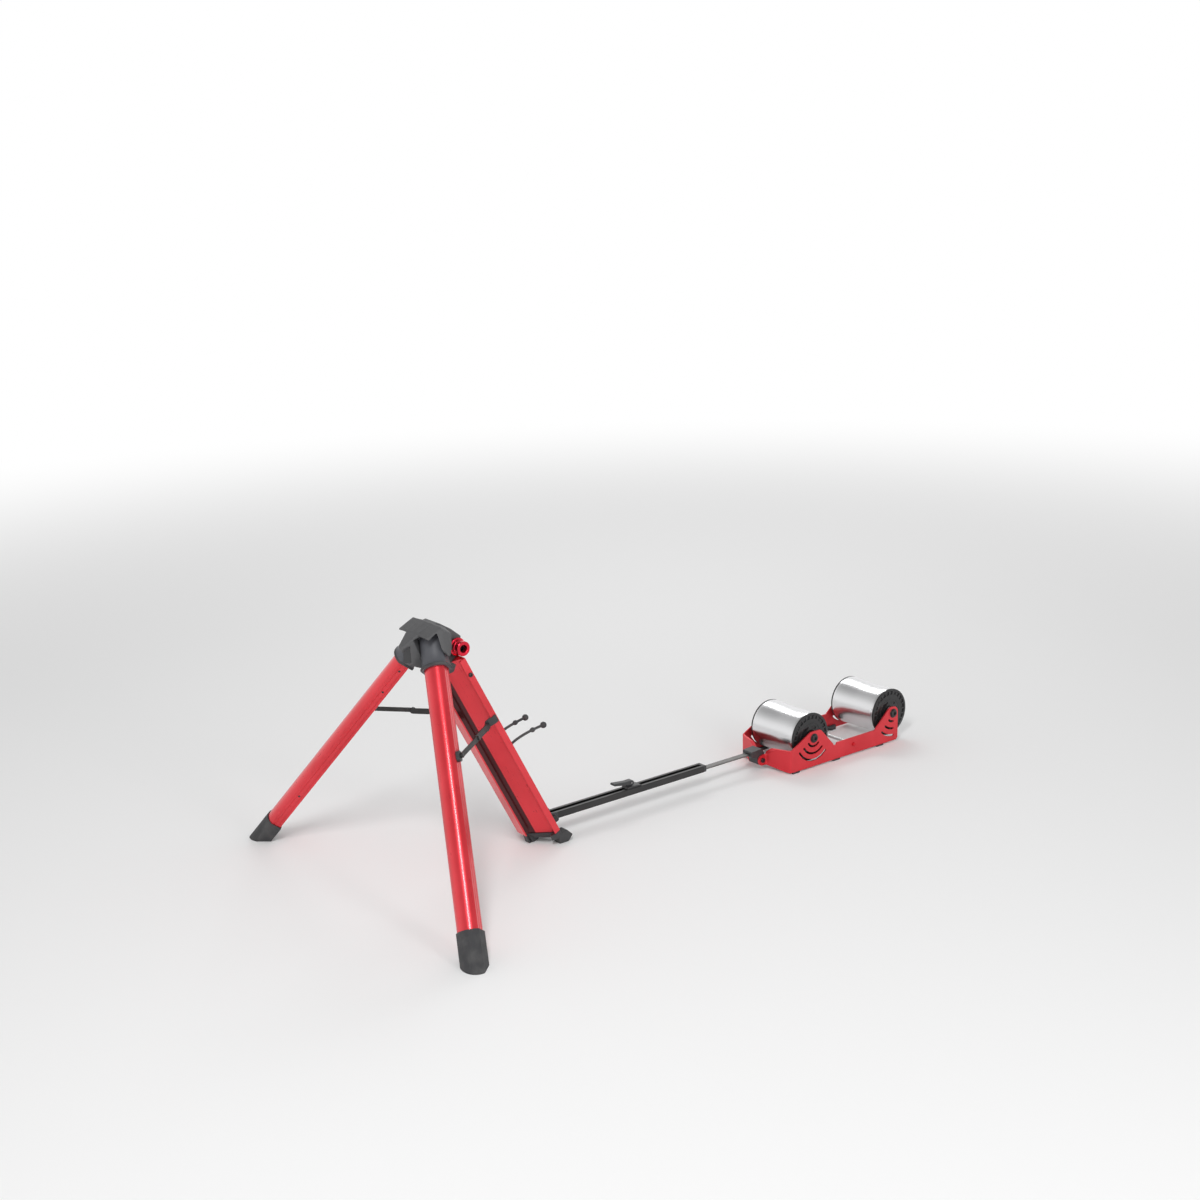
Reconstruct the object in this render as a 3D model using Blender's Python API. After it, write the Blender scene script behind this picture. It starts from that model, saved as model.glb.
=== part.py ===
"""Fork mount roller trainer: a folding tripod that holds a bicycle fork, and a telescoping
rail that carries a small frame with two roller drums under the rear wheel.

Metres, +Z up, +X towards the rollers, -Y the rider's left. The origin is on the floor,
under the middle of the part's box. Dimensions are first given from the fork axle.
"""

from math import acos, asin, atan2, cos, degrees, pi, radians, sin, tan

import bmesh
import bpy
from mathutils import Matrix, Vector

MM = 0.001
GAP = 0.3 * MM                      # between pieces that touch
RUNNING = 0.3 * MM                  # radial clearance of a shaft in its bore
SIDES = (("left", -1), ("right", 1))

# Fork mount
AXLE_HEIGHT = 443.5 * MM
DROPOUT_SPACING = 100 * MM
THRU_AXLE_BORE = 15.2 * MM
AXLE_TUBE_RADIUS = 11 * MM
ADAPTER_RADIUS = 14 * MM
ADAPTER_LENGTH = 24 * MM
ADAPTER_COLLAR_RADIUS = 17 * MM
BOSS_RADIUS = 18 * MM
BOSS_HALF_WIDTH = 20 * MM

# Rear leg, an extrusion with a gable for the folded front legs and a T-shaped crest
REAR_LEAN = radians(27.2)
# The leg leans under the axle, so its foot and its length follow the axle's height
REAR_GROUND_X = AXLE_HEIGHT * tan(REAR_LEAN) - 7.33 * MM    # its back plane meets the floor there
AXLE_UP = AXLE_HEIGHT / cos(REAR_LEAN)                      # the axle's height along the leg
REAR_WIDTH = 100 * MM
REAR_WALL = 2.5 * MM
REAR_FLANGE_DEPTH = 13 * MM
REAR_DEPTH = 55.3 * MM
NECK_HALF_WIDTH = 7 * MM
CREST_HALF_WIDTH = 14.2 * MM
CREST_THICKNESS = 3 * MM
REAR_TOP = AXLE_UP - 43.64 * MM     # up along the leg
REAR_BOTTOM = 34 * MM
CREST_BOTTOM = 52 * MM

# Front legs, D-shaped tubes
PIVOT_UP = AXLE_UP + 21.86 * MM     # hinge, in the rear leg's own axes
PIVOT_FORWARD = 44 * MM
PIVOT_SIDE = 34.8 * MM
FOOT_X = -227.5 * MM
FOOT_SIDE = 382 * MM
LEG_WIDTH = 40 * MM
LEG_SIDE_DEPTH = 21 * MM
LEG_DEPTH = 31 * MM
LEG_WALL = 1.8 * MM
LEG_CENTRE = LEG_DEPTH / 2
LEG_START = 14 * MM                 # below the hinge
LEG_END_RISE = 34 * MM              # end of the tube above the floor, along the leg
LEG_SEAT_GAP = 5.7 * MM             # between a folded leg and its slope
FOOT_SLEEVE = 64 * MM
FOOT_WALL = 1.7 * MM
PIN_RADIUS = 4 * MM
PIN_REACH = 30 * MM
HOOD_TOP = 31 * MM
HOOD_SKIRT = 32 * MM
HOOD_WALL = 2 * MM
HOOD_FLARE = 6 * MM
HOOD_CLEARANCE = 1.4 * MM
FOLD_STEPS = 6
FOLD_CLEARANCE = 2.2 * MM           # round the folded leg's rubber foot

# Folding braces, two links a side
KNUCKLE_DOWN = 209 * MM             # below the hinge, along the front leg
LUG_DOWN = 187 * MM                 # below the hinge, along the rear leg
BRACE_DEPTH = 16 * MM               # pivots, from the front leg's flat back
LUG_THICKNESS = 3.6 * MM            # from the leg's side to the first link
KNUCKLE_HALF = 10 * MM
LUG_HALF = 8 * MM
LINK_THICKNESS = 3 * MM
FRONT_LINK_WIDTH = 9 * MM
REAR_LINK_WIDTH = 12 * MM
RIVET_RADIUS = 2.5 * MM
RIVET_HEAD_RADIUS = 4.6 * MM
RIVET_HEAD = 2.2 * MM

# Rubber tie straps on the back of the rear leg
STRAP_UP = 249 * MM
STRAP_SIDE = 27 * MM
STRAP_RADIUS = 2.6 * MM
STRAP_BALL_RADIUS = 6.5 * MM
STRAP_BEAD_RADIUS = 5 * MM
STRAP_FLANGE_RADIUS = 5.5 * MM
STRAP_REACH = 85 * MM

# Rail, its hinge and the sliding bar
RAIL_PIVOT_X = REAR_GROUND_X - 3.6 * MM
RAIL_PIVOT_Z = 43.2 * MM
RAIL_START = RAIL_PIVOT_X - 8 * MM
RAIL_END = 615 * MM
RAIL_WIDTH = 24 * MM
RAIL_HEIGHT = 13.4 * MM
RAIL_BOTTOM = 36.5 * MM
RAIL_WALL = 2 * MM
RAIL_SLOT = 10 * MM
RAIL_PIN_RADIUS = 3 * MM
BRACKET_PLATE = 3 * MM
BRACKET_EAR = 3 * MM
BAR_WIDTH = 16 * MM
BAR_THICKNESS = 3 * MM
BAR_START = 425 * MM
BAR_END = 768 * MM
CLAMP_X = 424 * MM
CLAMP_LENGTH = 30 * MM
CAM_Z = RAIL_BOTTOM + RAIL_HEIGHT + 10 * MM
LEVER_LENGTH = 46 * MM
LEVER_WIDTH = 12 * MM

# Roller frame
FRAME_PIVOT_X = 780 * MM
FRAME_PIVOT_Z = 24 * MM
PLATE_SPACING = 154.6 * MM          # over the outer faces
PLATE_THICKNESS = 3 * MM
PLATE_BEND_X = 808 * MM
EAR_BEND_X = 790 * MM
EAR_HALF_GAP = 14 * MM
EAR_RADIUS = 12 * MM
CLEVIS_PIN_RADIUS = 3 * MM
TIE_X = 1000 * MM
TIE_Z = 24 * MM
TIE_RADIUS = 4 * MM
PLATE_BOTTOM = 3.4 * MM
FRONT_DRUM_X = 876.1 * MM
REAR_DRUM_X = 1125.4 * MM
DRUM_Z = 67.9 * MM
DRUM_RADIUS = 53.5 * MM
DRUM_WAIST = 1.6 * MM
DRUM_WALL = 4 * MM
DRUM_LENGTH = 124 * MM
CAP_THICKNESS = 3.4 * MM
CAP_HUB_RADIUS = 17 * MM
CAP_RIBS = 18
BEARING_RADIUS = 11 * MM
BEARING_WIDTH = 7 * MM
DRUM_AXLE_RADIUS = 5 * MM
AXLE_BOLT_RADIUS = 7.5 * MM
FOOT_PAD_XS = (822 * MM, 945 * MM, 1083 * MM)
PEAK_RADIUS = 15.5 * MM
PLATE_TOP = 41 * MM                 # between the peaks
NOTCH_X = 935 * MM                  # notch behind the front peak
NOTCH_BOTTOM = 36 * MM
SHOULDER_TOP = 52 * MM
SLOT_WIDTH = 5 * MM
FRONT_SLOT_RADII = (18.5 * MM, 34.5 * MM, 49.5 * MM)
FRONT_SLOT_ARC = (210, 315)         # degrees
REAR_SLOT_RADII = (19 * MM, 35.5 * MM, 51.5 * MM)
REAR_SLOT_ARC = (226, 270)

MATERIALS = {
    "red_anodised": ((0.76, 0.03, 0.05), 0.3, 0.75),
    "red_sheet": ((0.80, 0.04, 0.06), 0.4, 0.4),
    "black_casting": ((0.11, 0.11, 0.115), 0.75, 0.1),
    "black_plastic": ((0.06, 0.06, 0.07), 0.45, 0.0),
    "black_rubber": ((0.05, 0.05, 0.052), 0.8, 0.0),
    "black_anodised": ((0.07, 0.07, 0.07), 0.35, 0.7),
    "grey_steel": ((0.28, 0.28, 0.28), 0.45, 0.9),
    "bright_steel": ((0.6, 0.6, 0.6), 0.3, 1.0),
    "turned_aluminium": ((0.82, 0.83, 0.84), 0.22, 1.0),
}


def material(name):
    """The shared finish of this name, made when it is first asked for."""
    found = bpy.data.materials.get(name)
    if found:
        return found
    colour, roughness, metallic = MATERIALS[name]
    made = bpy.data.materials.new(name)
    made.use_nodes = True
    shader = made.node_tree.nodes["Principled BSDF"]
    shader.inputs["Base Color"].default_value = (*colour, 1)
    shader.inputs["Roughness"].default_value = roughness
    shader.inputs["Metallic"].default_value = metallic
    made.diffuse_color = (*colour, 1)
    return made


def axes(origin, u, v, w):
    """The matrix of a local frame with these three unit vectors as its columns."""
    turn = Matrix((u, v, w)).transposed().to_4x4()
    return Matrix.Translation(origin) @ turn


def arc(centre, radius, start, end, steps):
    """Points on an arc, angles in degrees, both ends included."""
    angles = [radians(start + (end - start) * i / steps) for i in range(steps + 1)]
    return [(centre[0] + radius * cos(a), centre[1] + radius * sin(a)) for a in angles]


def circle(centre, radius, steps=24):
    return arc(centre, radius, 0, 360 - 360 / steps, steps - 1)


def rounded(points, radii, steps=3):
    """A closed outline with each corner rounded to its own radius."""
    result = []
    count = len(points)
    for i in range(count):
        corner = Vector(points[i])
        radius = radii[i] if i < len(radii) else 0
        if radius <= 0:
            result.append(tuple(corner))
            continue
        before = (Vector(points[i - 1]) - corner).normalized()
        after = (Vector(points[(i + 1) % count]) - corner).normalized()
        half = acos(max(-1, min(1, before.dot(after)))) / 2
        reach = radius / tan(half)
        middle = corner + (before + after).normalized() * radius / sin(half)
        first = corner + before * reach - middle
        start = atan2(first.y, first.x)
        last = corner + after * reach - middle
        sweep = atan2(first.x * last.y - first.y * last.x, first.dot(last))
        for k in range(steps + 1):
            a = start + sweep * k / steps
            result.append((middle.x + radius * cos(a), middle.y + radius * sin(a)))
    return result


def arc_slot(centre, radius, width, start, end, steps=6):
    """A slot along an arc, with round ends."""
    half = width / 2
    outer = arc(centre, radius + half, start, end, steps)
    a, b = radians(end), radians(start)
    head = (centre[0] + radius * cos(a), centre[1] + radius * sin(a))
    tail = (centre[0] + radius * cos(b), centre[1] + radius * sin(b))
    inner = arc(centre, radius - half, end, start, steps)
    round_head = arc(head, half, end, end + 180, 4)[1:-1]
    round_tail = arc(tail, half, start + 180, start + 360, 4)[1:-1]
    return outer + round_head + inner + round_tail


def sheet(outlines, low, high):
    """A flat outline with holes, filled and extruded along W, as a closed bmesh."""
    curve = bpy.data.curves.new("outline", "CURVE")
    curve.dimensions = "2D"
    curve.fill_mode = "BOTH"
    curve.extrude = (high - low) / 2
    for points in outlines:
        spline = curve.splines.new("POLY")
        spline.points.add(len(points) - 1)
        for target, (u, v) in zip(spline.points, points):
            target.co = (u, v, 0, 1)
        spline.use_cyclic_u = True
    guide = bpy.data.objects.new("outline", curve)
    bpy.context.scene.collection.objects.link(guide)
    graph = bpy.context.evaluated_depsgraph_get()
    mesh = bpy.data.meshes.new_from_object(guide.evaluated_get(graph))
    bm = bmesh.new()
    bm.from_mesh(mesh)
    bpy.data.objects.remove(guide)
    bpy.data.curves.remove(curve)
    bpy.data.meshes.remove(mesh)
    bmesh.ops.remove_doubles(bm, verts=bm.verts, dist=1e-6)
    bmesh.ops.translate(bm, verts=bm.verts, vec=(0, 0, (high + low) / 2))
    bmesh.ops.recalc_face_normals(bm, faces=bm.faces)
    return bm


def turned(profile, steps=48):
    """A closed (radius, height) profile spun about W. A profile on the axis closes there."""
    bm = bmesh.new()
    points = [bm.verts.new((r, 0, z)) for r, z in profile]
    on_axis = profile[0][0] == 0 and profile[-1][0] == 0
    edges = [bm.edges.new(pair) for pair in zip(points, points[1:])]
    if not on_axis:
        edges.append(bm.edges.new((points[-1], points[0])))
    bmesh.ops.spin(bm, geom=points + edges, axis=(0, 0, 1), cent=(0, 0, 0),
                   angle=2 * pi, steps=steps, use_merge=True)
    bmesh.ops.remove_doubles(bm, verts=bm.verts, dist=1e-6)
    bmesh.ops.recalc_face_normals(bm, faces=bm.faces)
    return bm


def rod(radius, low, high, steps=24, chamfer=0.0):
    c = chamfer
    profile = [(0, low), (radius - c, low), (radius, low + c), (radius, high - c), (radius - c, high),
               (0, high)]
    if c == 0:
        profile = [(0, low), (radius, low), (radius, high), (0, high)]
    return turned(profile, steps)


def tube(outer, inner, low, high, steps=24):
    return turned([(inner, low), (outer, low), (outer, high), (inner, high)], steps)


def hull(points):
    bm = bmesh.new()
    verts = [bm.verts.new(p) for p in points]
    made = bmesh.ops.convex_hull(bm, input=verts)
    loose = {g for g in made["geom_interior"] + made["geom_unused"] if isinstance(g, bmesh.types.BMVert)}
    bmesh.ops.delete(bm, geom=list(loose), context="VERTS")
    bmesh.ops.dissolve_limit(bm, angle_limit=radians(0.5), verts=bm.verts, edges=bm.edges)
    bmesh.ops.recalc_face_normals(bm, faces=bm.faces)
    return bm


def soften(bm, width, segments=2, sharpest=20):
    """Bevel the edges that turn by more than this many degrees."""
    edges = [e for e in bm.edges if len(e.link_faces) == 2 and degrees(e.calc_face_angle()) > sharpest]
    bmesh.ops.bevel(bm, geom=edges, offset=width, segments=segments, affect="EDGES",
                    profile=0.5, material=-1, clamp_overlap=True)
    return bm


def loft(sections):
    """Closed sections of equal length, bridged in order and capped at both ends."""
    bm = bmesh.new()
    rings = [[bm.verts.new(p) for p in section] for section in sections]
    for low, high in zip(rings, rings[1:]):
        for i in range(len(low)):
            j = (i + 1) % len(low)
            bm.faces.new((low[i], low[j], high[j], high[i]))
    bm.faces.new(rings[0])
    bm.faces.new(rings[-1])
    bmesh.ops.recalc_face_normals(bm, faces=bm.faces)
    return bm


def merge(*parts):
    """Several bmeshes as one, kept as separate bodies."""
    whole = parts[0]
    for part in parts[1:]:
        mesh = bpy.data.meshes.new("part")
        part.to_mesh(mesh)
        part.free()
        whole.from_mesh(mesh)
        bpy.data.meshes.remove(mesh)
    return whole


def placed(bm, matrix):
    bmesh.ops.transform(bm, matrix=matrix, verts=bm.verts)
    if matrix.determinant() < 0:
        bmesh.ops.reverse_faces(bm, faces=bm.faces)
    return bm


def piece(name, bm, finish, holder, sharp=30):
    """An object for this bmesh, carried by its holder empty. Sharp 0 leaves it flat shaded."""
    mesh = bpy.data.meshes.new(name)
    bm.to_mesh(mesh)
    bm.free()
    made = bpy.data.objects.new(name, mesh)
    bpy.context.scene.collection.objects.link(made)
    mesh.materials.append(material(finish))
    if sharp:
        mesh.shade_smooth()
        mesh.set_sharp_from_angle(angle=radians(sharp))
    carry(made, holder)
    return made


def place_of(holder):
    """Where an empty stands, from its own and its parents' locations."""
    return holder.location + place_of(holder.parent) if holder else Vector((0, 0, 0))


def carry(made, holder):
    """Parent a piece that is modelled in the trainer's own axes to an empty."""
    made.parent = holder
    made.matrix_parent_inverse = Matrix.Translation(-place_of(holder))


def joint_empty(name, place, holder=None):
    made = bpy.data.objects.new(name, None)
    bpy.context.scene.collection.objects.link(made)
    made.empty_display_size = 0.03
    made.location = Vector(place) - place_of(holder)
    made.parent = holder
    return made


def boolean(target, bm, operation, name, solver="EXACT"):
    """Cut, join or keep what a hidden shape covers."""
    mesh = bpy.data.meshes.new(name)
    bm.to_mesh(mesh)
    bm.free()
    cutter = bpy.data.objects.new(name, mesh)
    bpy.context.scene.collection.objects.link(cutter)
    cutter.hide_render = True
    cutter.display_type = "WIRE"
    carry(cutter, target.parent)
    change = target.modifiers.new(name, "BOOLEAN")
    change.operation = operation
    change.object = cutter
    change.solver = solver
    return target


# Directions of the rear leg: across it, out of its front, and up along it
ACROSS = Vector((0, 1, 0))
REAR_FRONT = Vector((-cos(REAR_LEAN), 0, -sin(REAR_LEAN)))
REAR_UP = Vector((-sin(REAR_LEAN), 0, cos(REAR_LEAN)))
REAR = axes(Vector((REAR_GROUND_X, 0, 0)), ACROSS, REAR_FRONT, REAR_UP)
# The same seen from the side: out of its front, up along it, and across it
SIDE_OF_REAR = axes(Vector((REAR_GROUND_X, 0, 0)), REAR_FRONT, REAR_UP, ACROSS)


# XZ drawings: U along +X, V along +Z, extruded along -Y
PROFILE_VIEW = axes(Vector((0, 0, 0)), Vector((1, 0, 0)), Vector((0, 0, 1)), Vector((0, -1, 0)))
# Sections of the rail: U along +Y, V along +Z, extruded along +X
RAIL_VIEW = axes(Vector((0, 0, 0)), Vector((0, 1, 0)), Vector((0, 0, 1)), Vector((1, 0, 0)))
# Plans: U along +X, V along +Y, extruded up
PLAN_VIEW = axes(Vector((0, 0, 0)), Vector((1, 0, 0)), Vector((0, 1, 0)), Vector((0, 0, 1)))


class LegFrame:
    """Where one front leg hinges, which way it points, and how far it folds.

    U runs along the hinge, V out of the leg's round front, W up the leg. The leg's flat
    back is at V = 0. The hinge is square to the open leg and to the folded one.
    """

    def __init__(self, side):
        self.side = side
        self.pivot = REAR @ Vector((side * PIVOT_SIDE, PIVOT_FORWARD, PIVOT_UP))
        reach = Vector((FOOT_X, side * FOOT_SIDE, 0)) - self.pivot
        self.length = reach.length
        self.down = reach.normalized()
        self.hinge = (-REAR_UP).cross(self.down).normalized()
        self.front = -self.down.cross(self.hinge)
        self.fold = acos(self.down.dot(-REAR_UP))
        self.inward = -side
        self.matrix = axes(self.pivot - self.front * LEG_CENTRE, self.hinge, self.front, -self.down)
        folded_front = REAR_UP.cross(self.hinge)
        self.folded = axes(self.pivot - folded_front * LEG_CENTRE, self.hinge, folded_front, REAR_UP)

    def turned_by(self, angle):
        """The leg's frame after it has folded by this angle."""
        turn = Matrix.Rotation(-angle, 4, self.hinge)
        about = Matrix.Translation(self.pivot) @ turn @ Matrix.Translation(-self.pivot)
        return about @ self.matrix

    def rear_section(self, u, v):
        """A point of the folded leg's section in the rear leg's section (across, front)."""
        local = REAR.inverted() @ (self.folded @ Vector((u, v, 0)))
        return (local.x, local.y)


LEGS = {name: LegFrame(side) for name, side in SIDES}


def d_outline(grow=0.0, steps=10):
    """The front leg's section: flat back and sides, round front."""
    half = LEG_WIDTH / 2
    bulge = LEG_DEPTH - LEG_SIDE_DEPTH
    radius = (half * half + bulge * bulge) / (2 * bulge)
    middle = LEG_DEPTH - radius
    outer = half + grow
    reach = radius + grow
    shoulder = degrees(asin(outer / reach))
    front = arc((0, middle), reach, 90 - shoulder, 90 + shoulder, steps)
    return [(-outer, -grow), (outer, -grow)] + front


def slope_line(inset=0.0):
    """The gable's slope on the right side, as N.across * y + N.front * n = distance."""
    leg = LEGS["right"]
    a = Vector(leg.rear_section(0, -LEG_SEAT_GAP - inset))
    b = Vector(leg.rear_section(1, -LEG_SEAT_GAP - inset))
    along = (b - a).normalized()
    normal = Vector((-along.y, along.x))
    if normal.y < 0:
        normal = -normal
    return normal, normal.dot(a)


def slope_height(y, inset=0.0):
    normal, distance = slope_line(inset)
    return (distance - normal.x * y) / normal.y


def build_rear_leg(root):
    half = REAR_WIDTH / 2
    wall = REAR_WALL
    crest_back = REAR_DEPTH - CREST_THICKNESS
    right = [
        (half, 0), (half, REAR_FLANGE_DEPTH), (half - wall, REAR_FLANGE_DEPTH),
        (half - wall, slope_height(half - wall)), (NECK_HALF_WIDTH, slope_height(NECK_HALF_WIDTH)),
        (NECK_HALF_WIDTH, crest_back), (CREST_HALF_WIDTH, crest_back), (CREST_HALF_WIDTH, REAR_DEPTH),
    ]
    outline = right + [(-y, n) for y, n in reversed(right)]
    normal, distance = slope_line(wall)
    inner_foot = (distance - normal.y * wall) / normal.x
    inner_neck = NECK_HALF_WIDTH - wall
    hollow_right = [(inner_foot, wall), (inner_neck, slope_height(inner_neck, wall)),
                    (inner_neck, crest_back - wall / 2)]
    hollow = hollow_right + [(-y, n) for y, n in reversed(hollow_right)]
    leg = sheet([outline, hollow], REAR_BOTTOM, REAR_TOP)
    made = piece("rear_leg", placed(leg, REAR), "red_anodised", root)
    # The crest and neck end higher than the back, level with the floor
    toe = [(REAR_FLANGE_DEPTH - 2 * MM, REAR_BOTTOM - 1 * MM), (REAR_DEPTH + 1 * MM, REAR_BOTTOM - 1 * MM),
           (REAR_DEPTH + 1 * MM, CREST_BOTTOM)]
    cut = sheet([toe], -half - 1 * MM, half + 1 * MM)
    boolean(made, placed(cut, SIDE_OF_REAR), "DIFFERENCE", "cut_rear_leg_toe", "MANIFOLD")


def build_rear_foot(root):
    """A black end piece: a plug in the extrusion, two side feet and a middle rib."""
    half = REAR_WIDTH / 2
    base = hull([(REAR_GROUND_X + x, y, z) for y in (-half, half) for x, z in
                 ((-67.1 * MM, 24 * MM), (-48.6 * MM, 12 * MM), (-7.1 * MM, 12 * MM), (-20.6 * MM, 44 * MM),
                  (-60.6 * MM, 40 * MM))])
    made = piece("rear_leg_foot", soften(base, 1.5 * MM, 1), "black_plastic", root)
    for name, side in SIDES:
        inner, outer = side * 30 * MM, side * 50 * MM
        foot = hull([(REAR_GROUND_X + x, y, z) for y in (inner, outer) for x, z in
                     ((-16.6 * MM, 0), (5.4 * MM, 0), (16.4 * MM, 12 * MM), (1.4 * MM, 26 * MM),
                      (-20.6 * MM, 20 * MM))])
        boolean(made, soften(foot, 1.5 * MM, 1), "UNION", f"{name}_side_foot")
    rib = hull([(REAR_GROUND_X + x, y, z) for y in (-7 * MM, 7 * MM) for x, z in
                ((-60.6 * MM, 0), (-44.6 * MM, 0), (-20.6 * MM, 14 * MM), (-68.1 * MM, 22 * MM),
                 (-62.6 * MM, 25 * MM))])
    boolean(made, soften(rib, 1.5 * MM, 1), "UNION", "middle_rib")
    # Nothing of it is above the extrusion's end, or behind its back
    slope = (CREST_BOTTOM - REAR_BOTTOM + 1 * MM) / (REAR_DEPTH + 3 * MM - REAR_FLANGE_DEPTH)
    level = REAR_BOTTOM - GAP * 1.2
    near, far = REAR_FLANGE_DEPTH + 0.3 * MM, REAR_DEPTH + 40 * MM
    tops = [(-10 * MM, level), (near, level), (far, level + slope * (far - near)), (far, 140 * MM),
            (-10 * MM, 140 * MM)]
    above = placed(sheet([tops], -half - 5 * MM, half + 5 * MM), SIDE_OF_REAR)
    boolean(made, above, "DIFFERENCE", "cut_rear_foot_top")
    # The folded front legs come down on both sides of it
    for name, leg in LEGS.items():
        side_room = LEG_WIDTH / 2 + FOOT_WALL + FOLD_CLEARANCE
        under = FOOT_WALL + FOLD_CLEARANCE
        low_end = -leg.length - 40 * MM
        outline = [(-side_room, -under), (side_room, -under), (side_room, 120 * MM), (-side_room, 120 * MM)]
        room = sheet([outline], low_end, low_end + 260 * MM)
        boolean(made, placed(room, leg.folded), "DIFFERENCE", f"cut_rear_foot_{name}_leg")
    normal, distance = slope_line(REAR_WALL + GAP)
    low = REAR_WALL + GAP
    corner = (distance - normal.y * low) / normal.x
    neck = NECK_HALF_WIDTH - REAR_WALL - GAP
    top = slope_height(neck, REAR_WALL + GAP)
    plug = [(corner, low), (neck, top), (-neck, top), (-corner, low)]
    inside = sheet([plug], REAR_BOTTOM - 6 * MM, REAR_BOTTOM + 16 * MM)
    boolean(made, placed(inside, REAR), "UNION", "foot_plug")


def build_front_leg(name, leg, holder):
    end = LEG_END_RISE - leg.length
    walls = sheet([d_outline(), d_outline(-LEG_WALL)], end, -LEG_START)
    piece(f"{name}_front_leg", placed(walls, leg.matrix), "red_anodised", holder)
    # The rubber foot is a D-shaped sleeve, closed below and ground flat on the floor
    top = FOOT_SLEEVE - leg.length
    sleeve = sheet([d_outline(GAP + FOOT_WALL)], -leg.length - 30 * MM, top)
    foot = piece(f"{name}_leg_foot", placed(sleeve, leg.matrix), "black_rubber", holder)
    pocket = sheet([d_outline(GAP)], end - GAP, top + 10 * MM)
    boolean(foot, placed(pocket, leg.matrix), "DIFFERENCE", f"cut_{name}_foot_pocket")
    x, y = FOOT_X, leg.side * FOOT_SIDE
    under = hull([(x + dx, y + dy, z) for dx in (-0.2, 0.2) for dy in (-0.2, 0.2) for z in (-0.1, 0)])
    boolean(foot, under, "DIFFERENCE", f"cut_{name}_foot_floor")


def hood_sections(grow=0.0, steps=8):
    """The hood's outline at rising heights: a flared rim, straight sides, a domed top."""
    rows = [(-HOOD_SKIRT - grow, HOOD_FLARE), (-HOOD_SKIRT + 9 * MM, HOOD_FLARE - 2 * MM),
            (-HOOD_SKIRT + 20 * MM, HOOD_WALL + 0.8 * MM), (4 * MM, HOOD_WALL + 0.5 * MM),
            (HOOD_TOP * 0.6 + grow, -1.5 * MM), (HOOD_TOP * 0.88 + grow, -6 * MM),
            (HOOD_TOP + grow, -11.5 * MM)]
    return [[(u, v, w) for u, v in d_outline(offset + grow, steps)] for w, offset in rows]


def build_hood(name, leg, holder):
    """The smooth moulded end of the leg, which turns on the hinge pin."""
    hood = piece(f"{name}_leg_hood", placed(loft(hood_sections()), leg.matrix), "black_plastic", holder, 40)
    pocket = sheet([d_outline(GAP)], -HOOD_SKIRT - 10 * MM, -LEG_START + GAP)
    boolean(hood, placed(pocket, leg.matrix), "DIFFERENCE", f"cut_{name}_hood_pocket")
    bore = rod(PIN_RADIUS + RUNNING, -40 * MM, 40 * MM, 20)
    boolean(hood, placed(bore, hinge_axis(leg)), "DIFFERENCE", f"cut_{name}_hood_bore")


def hinge_axis(leg, down=0.0, depth=LEG_CENTRE):
    """A frame whose W is parallel to the hinge, through a point of the open leg."""
    origin = leg.matrix @ Vector((0, depth, -down))
    return axes(origin, leg.front, -leg.down, leg.front.cross(-leg.down))


# Head casting: corners of its nose, wings and spine as (x, half width, height over the fork axle),
# and the arches as (half width, height)
NOSE = ((-97, 14, -2.5), (-95, 16, 10.5), (-87, 10, -19.5), (-74, 19, 39.5), (-50, 19, 51.5), (-34, 19, 50.5),
        (-30, 19, -21.5), (-70, 17, -31.5), (-80, 19, 0.5))
WING = ((-50, 50, 47.5), (-75, 48, 39.5), (-77, 47, 34.5), (-66, 49, 13.5), (-75, 10, 40.5), (-50, 10, 52.5),
        (-26, 50, 36.5), (-30, 55, 14.5), (-37, 55, 1.5), (-24, 52, 1.5), (-22, 30, 26.5), (-22, 10, 40.5))
SPINE = ((-34, 24, 50.5), (-8, 22, 34.5), (14, 20, 16.5), (17, 20, -9.5), (-50, 22, 46.5), (-50, 22, -17.5))
ARCH = ((19.5, 39), (47, 39), (50.5, 11.5), (50, -23.5), (24, -23.5), (22, 11.5), (19.5, 26.5))
RECESS = ((-110, 11, 2.5), (-110, 0, -15.5), (-89, 9, 1.5), (-86, 0, -13.5))
SADDLE_TOP = REAR_TOP + 45 * MM     # the block that caps the rear leg, up along it


def mirrored_hull(corners):
    return hull([(x * MM, side * y * MM, AXLE_HEIGHT + z * MM) for x, y, z in corners for _, side in SIDES])


def one_side_hull(corners, side):
    return hull([(x * MM, side * y * MM, AXLE_HEIGHT + z * MM) for x, y, z in corners])


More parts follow.
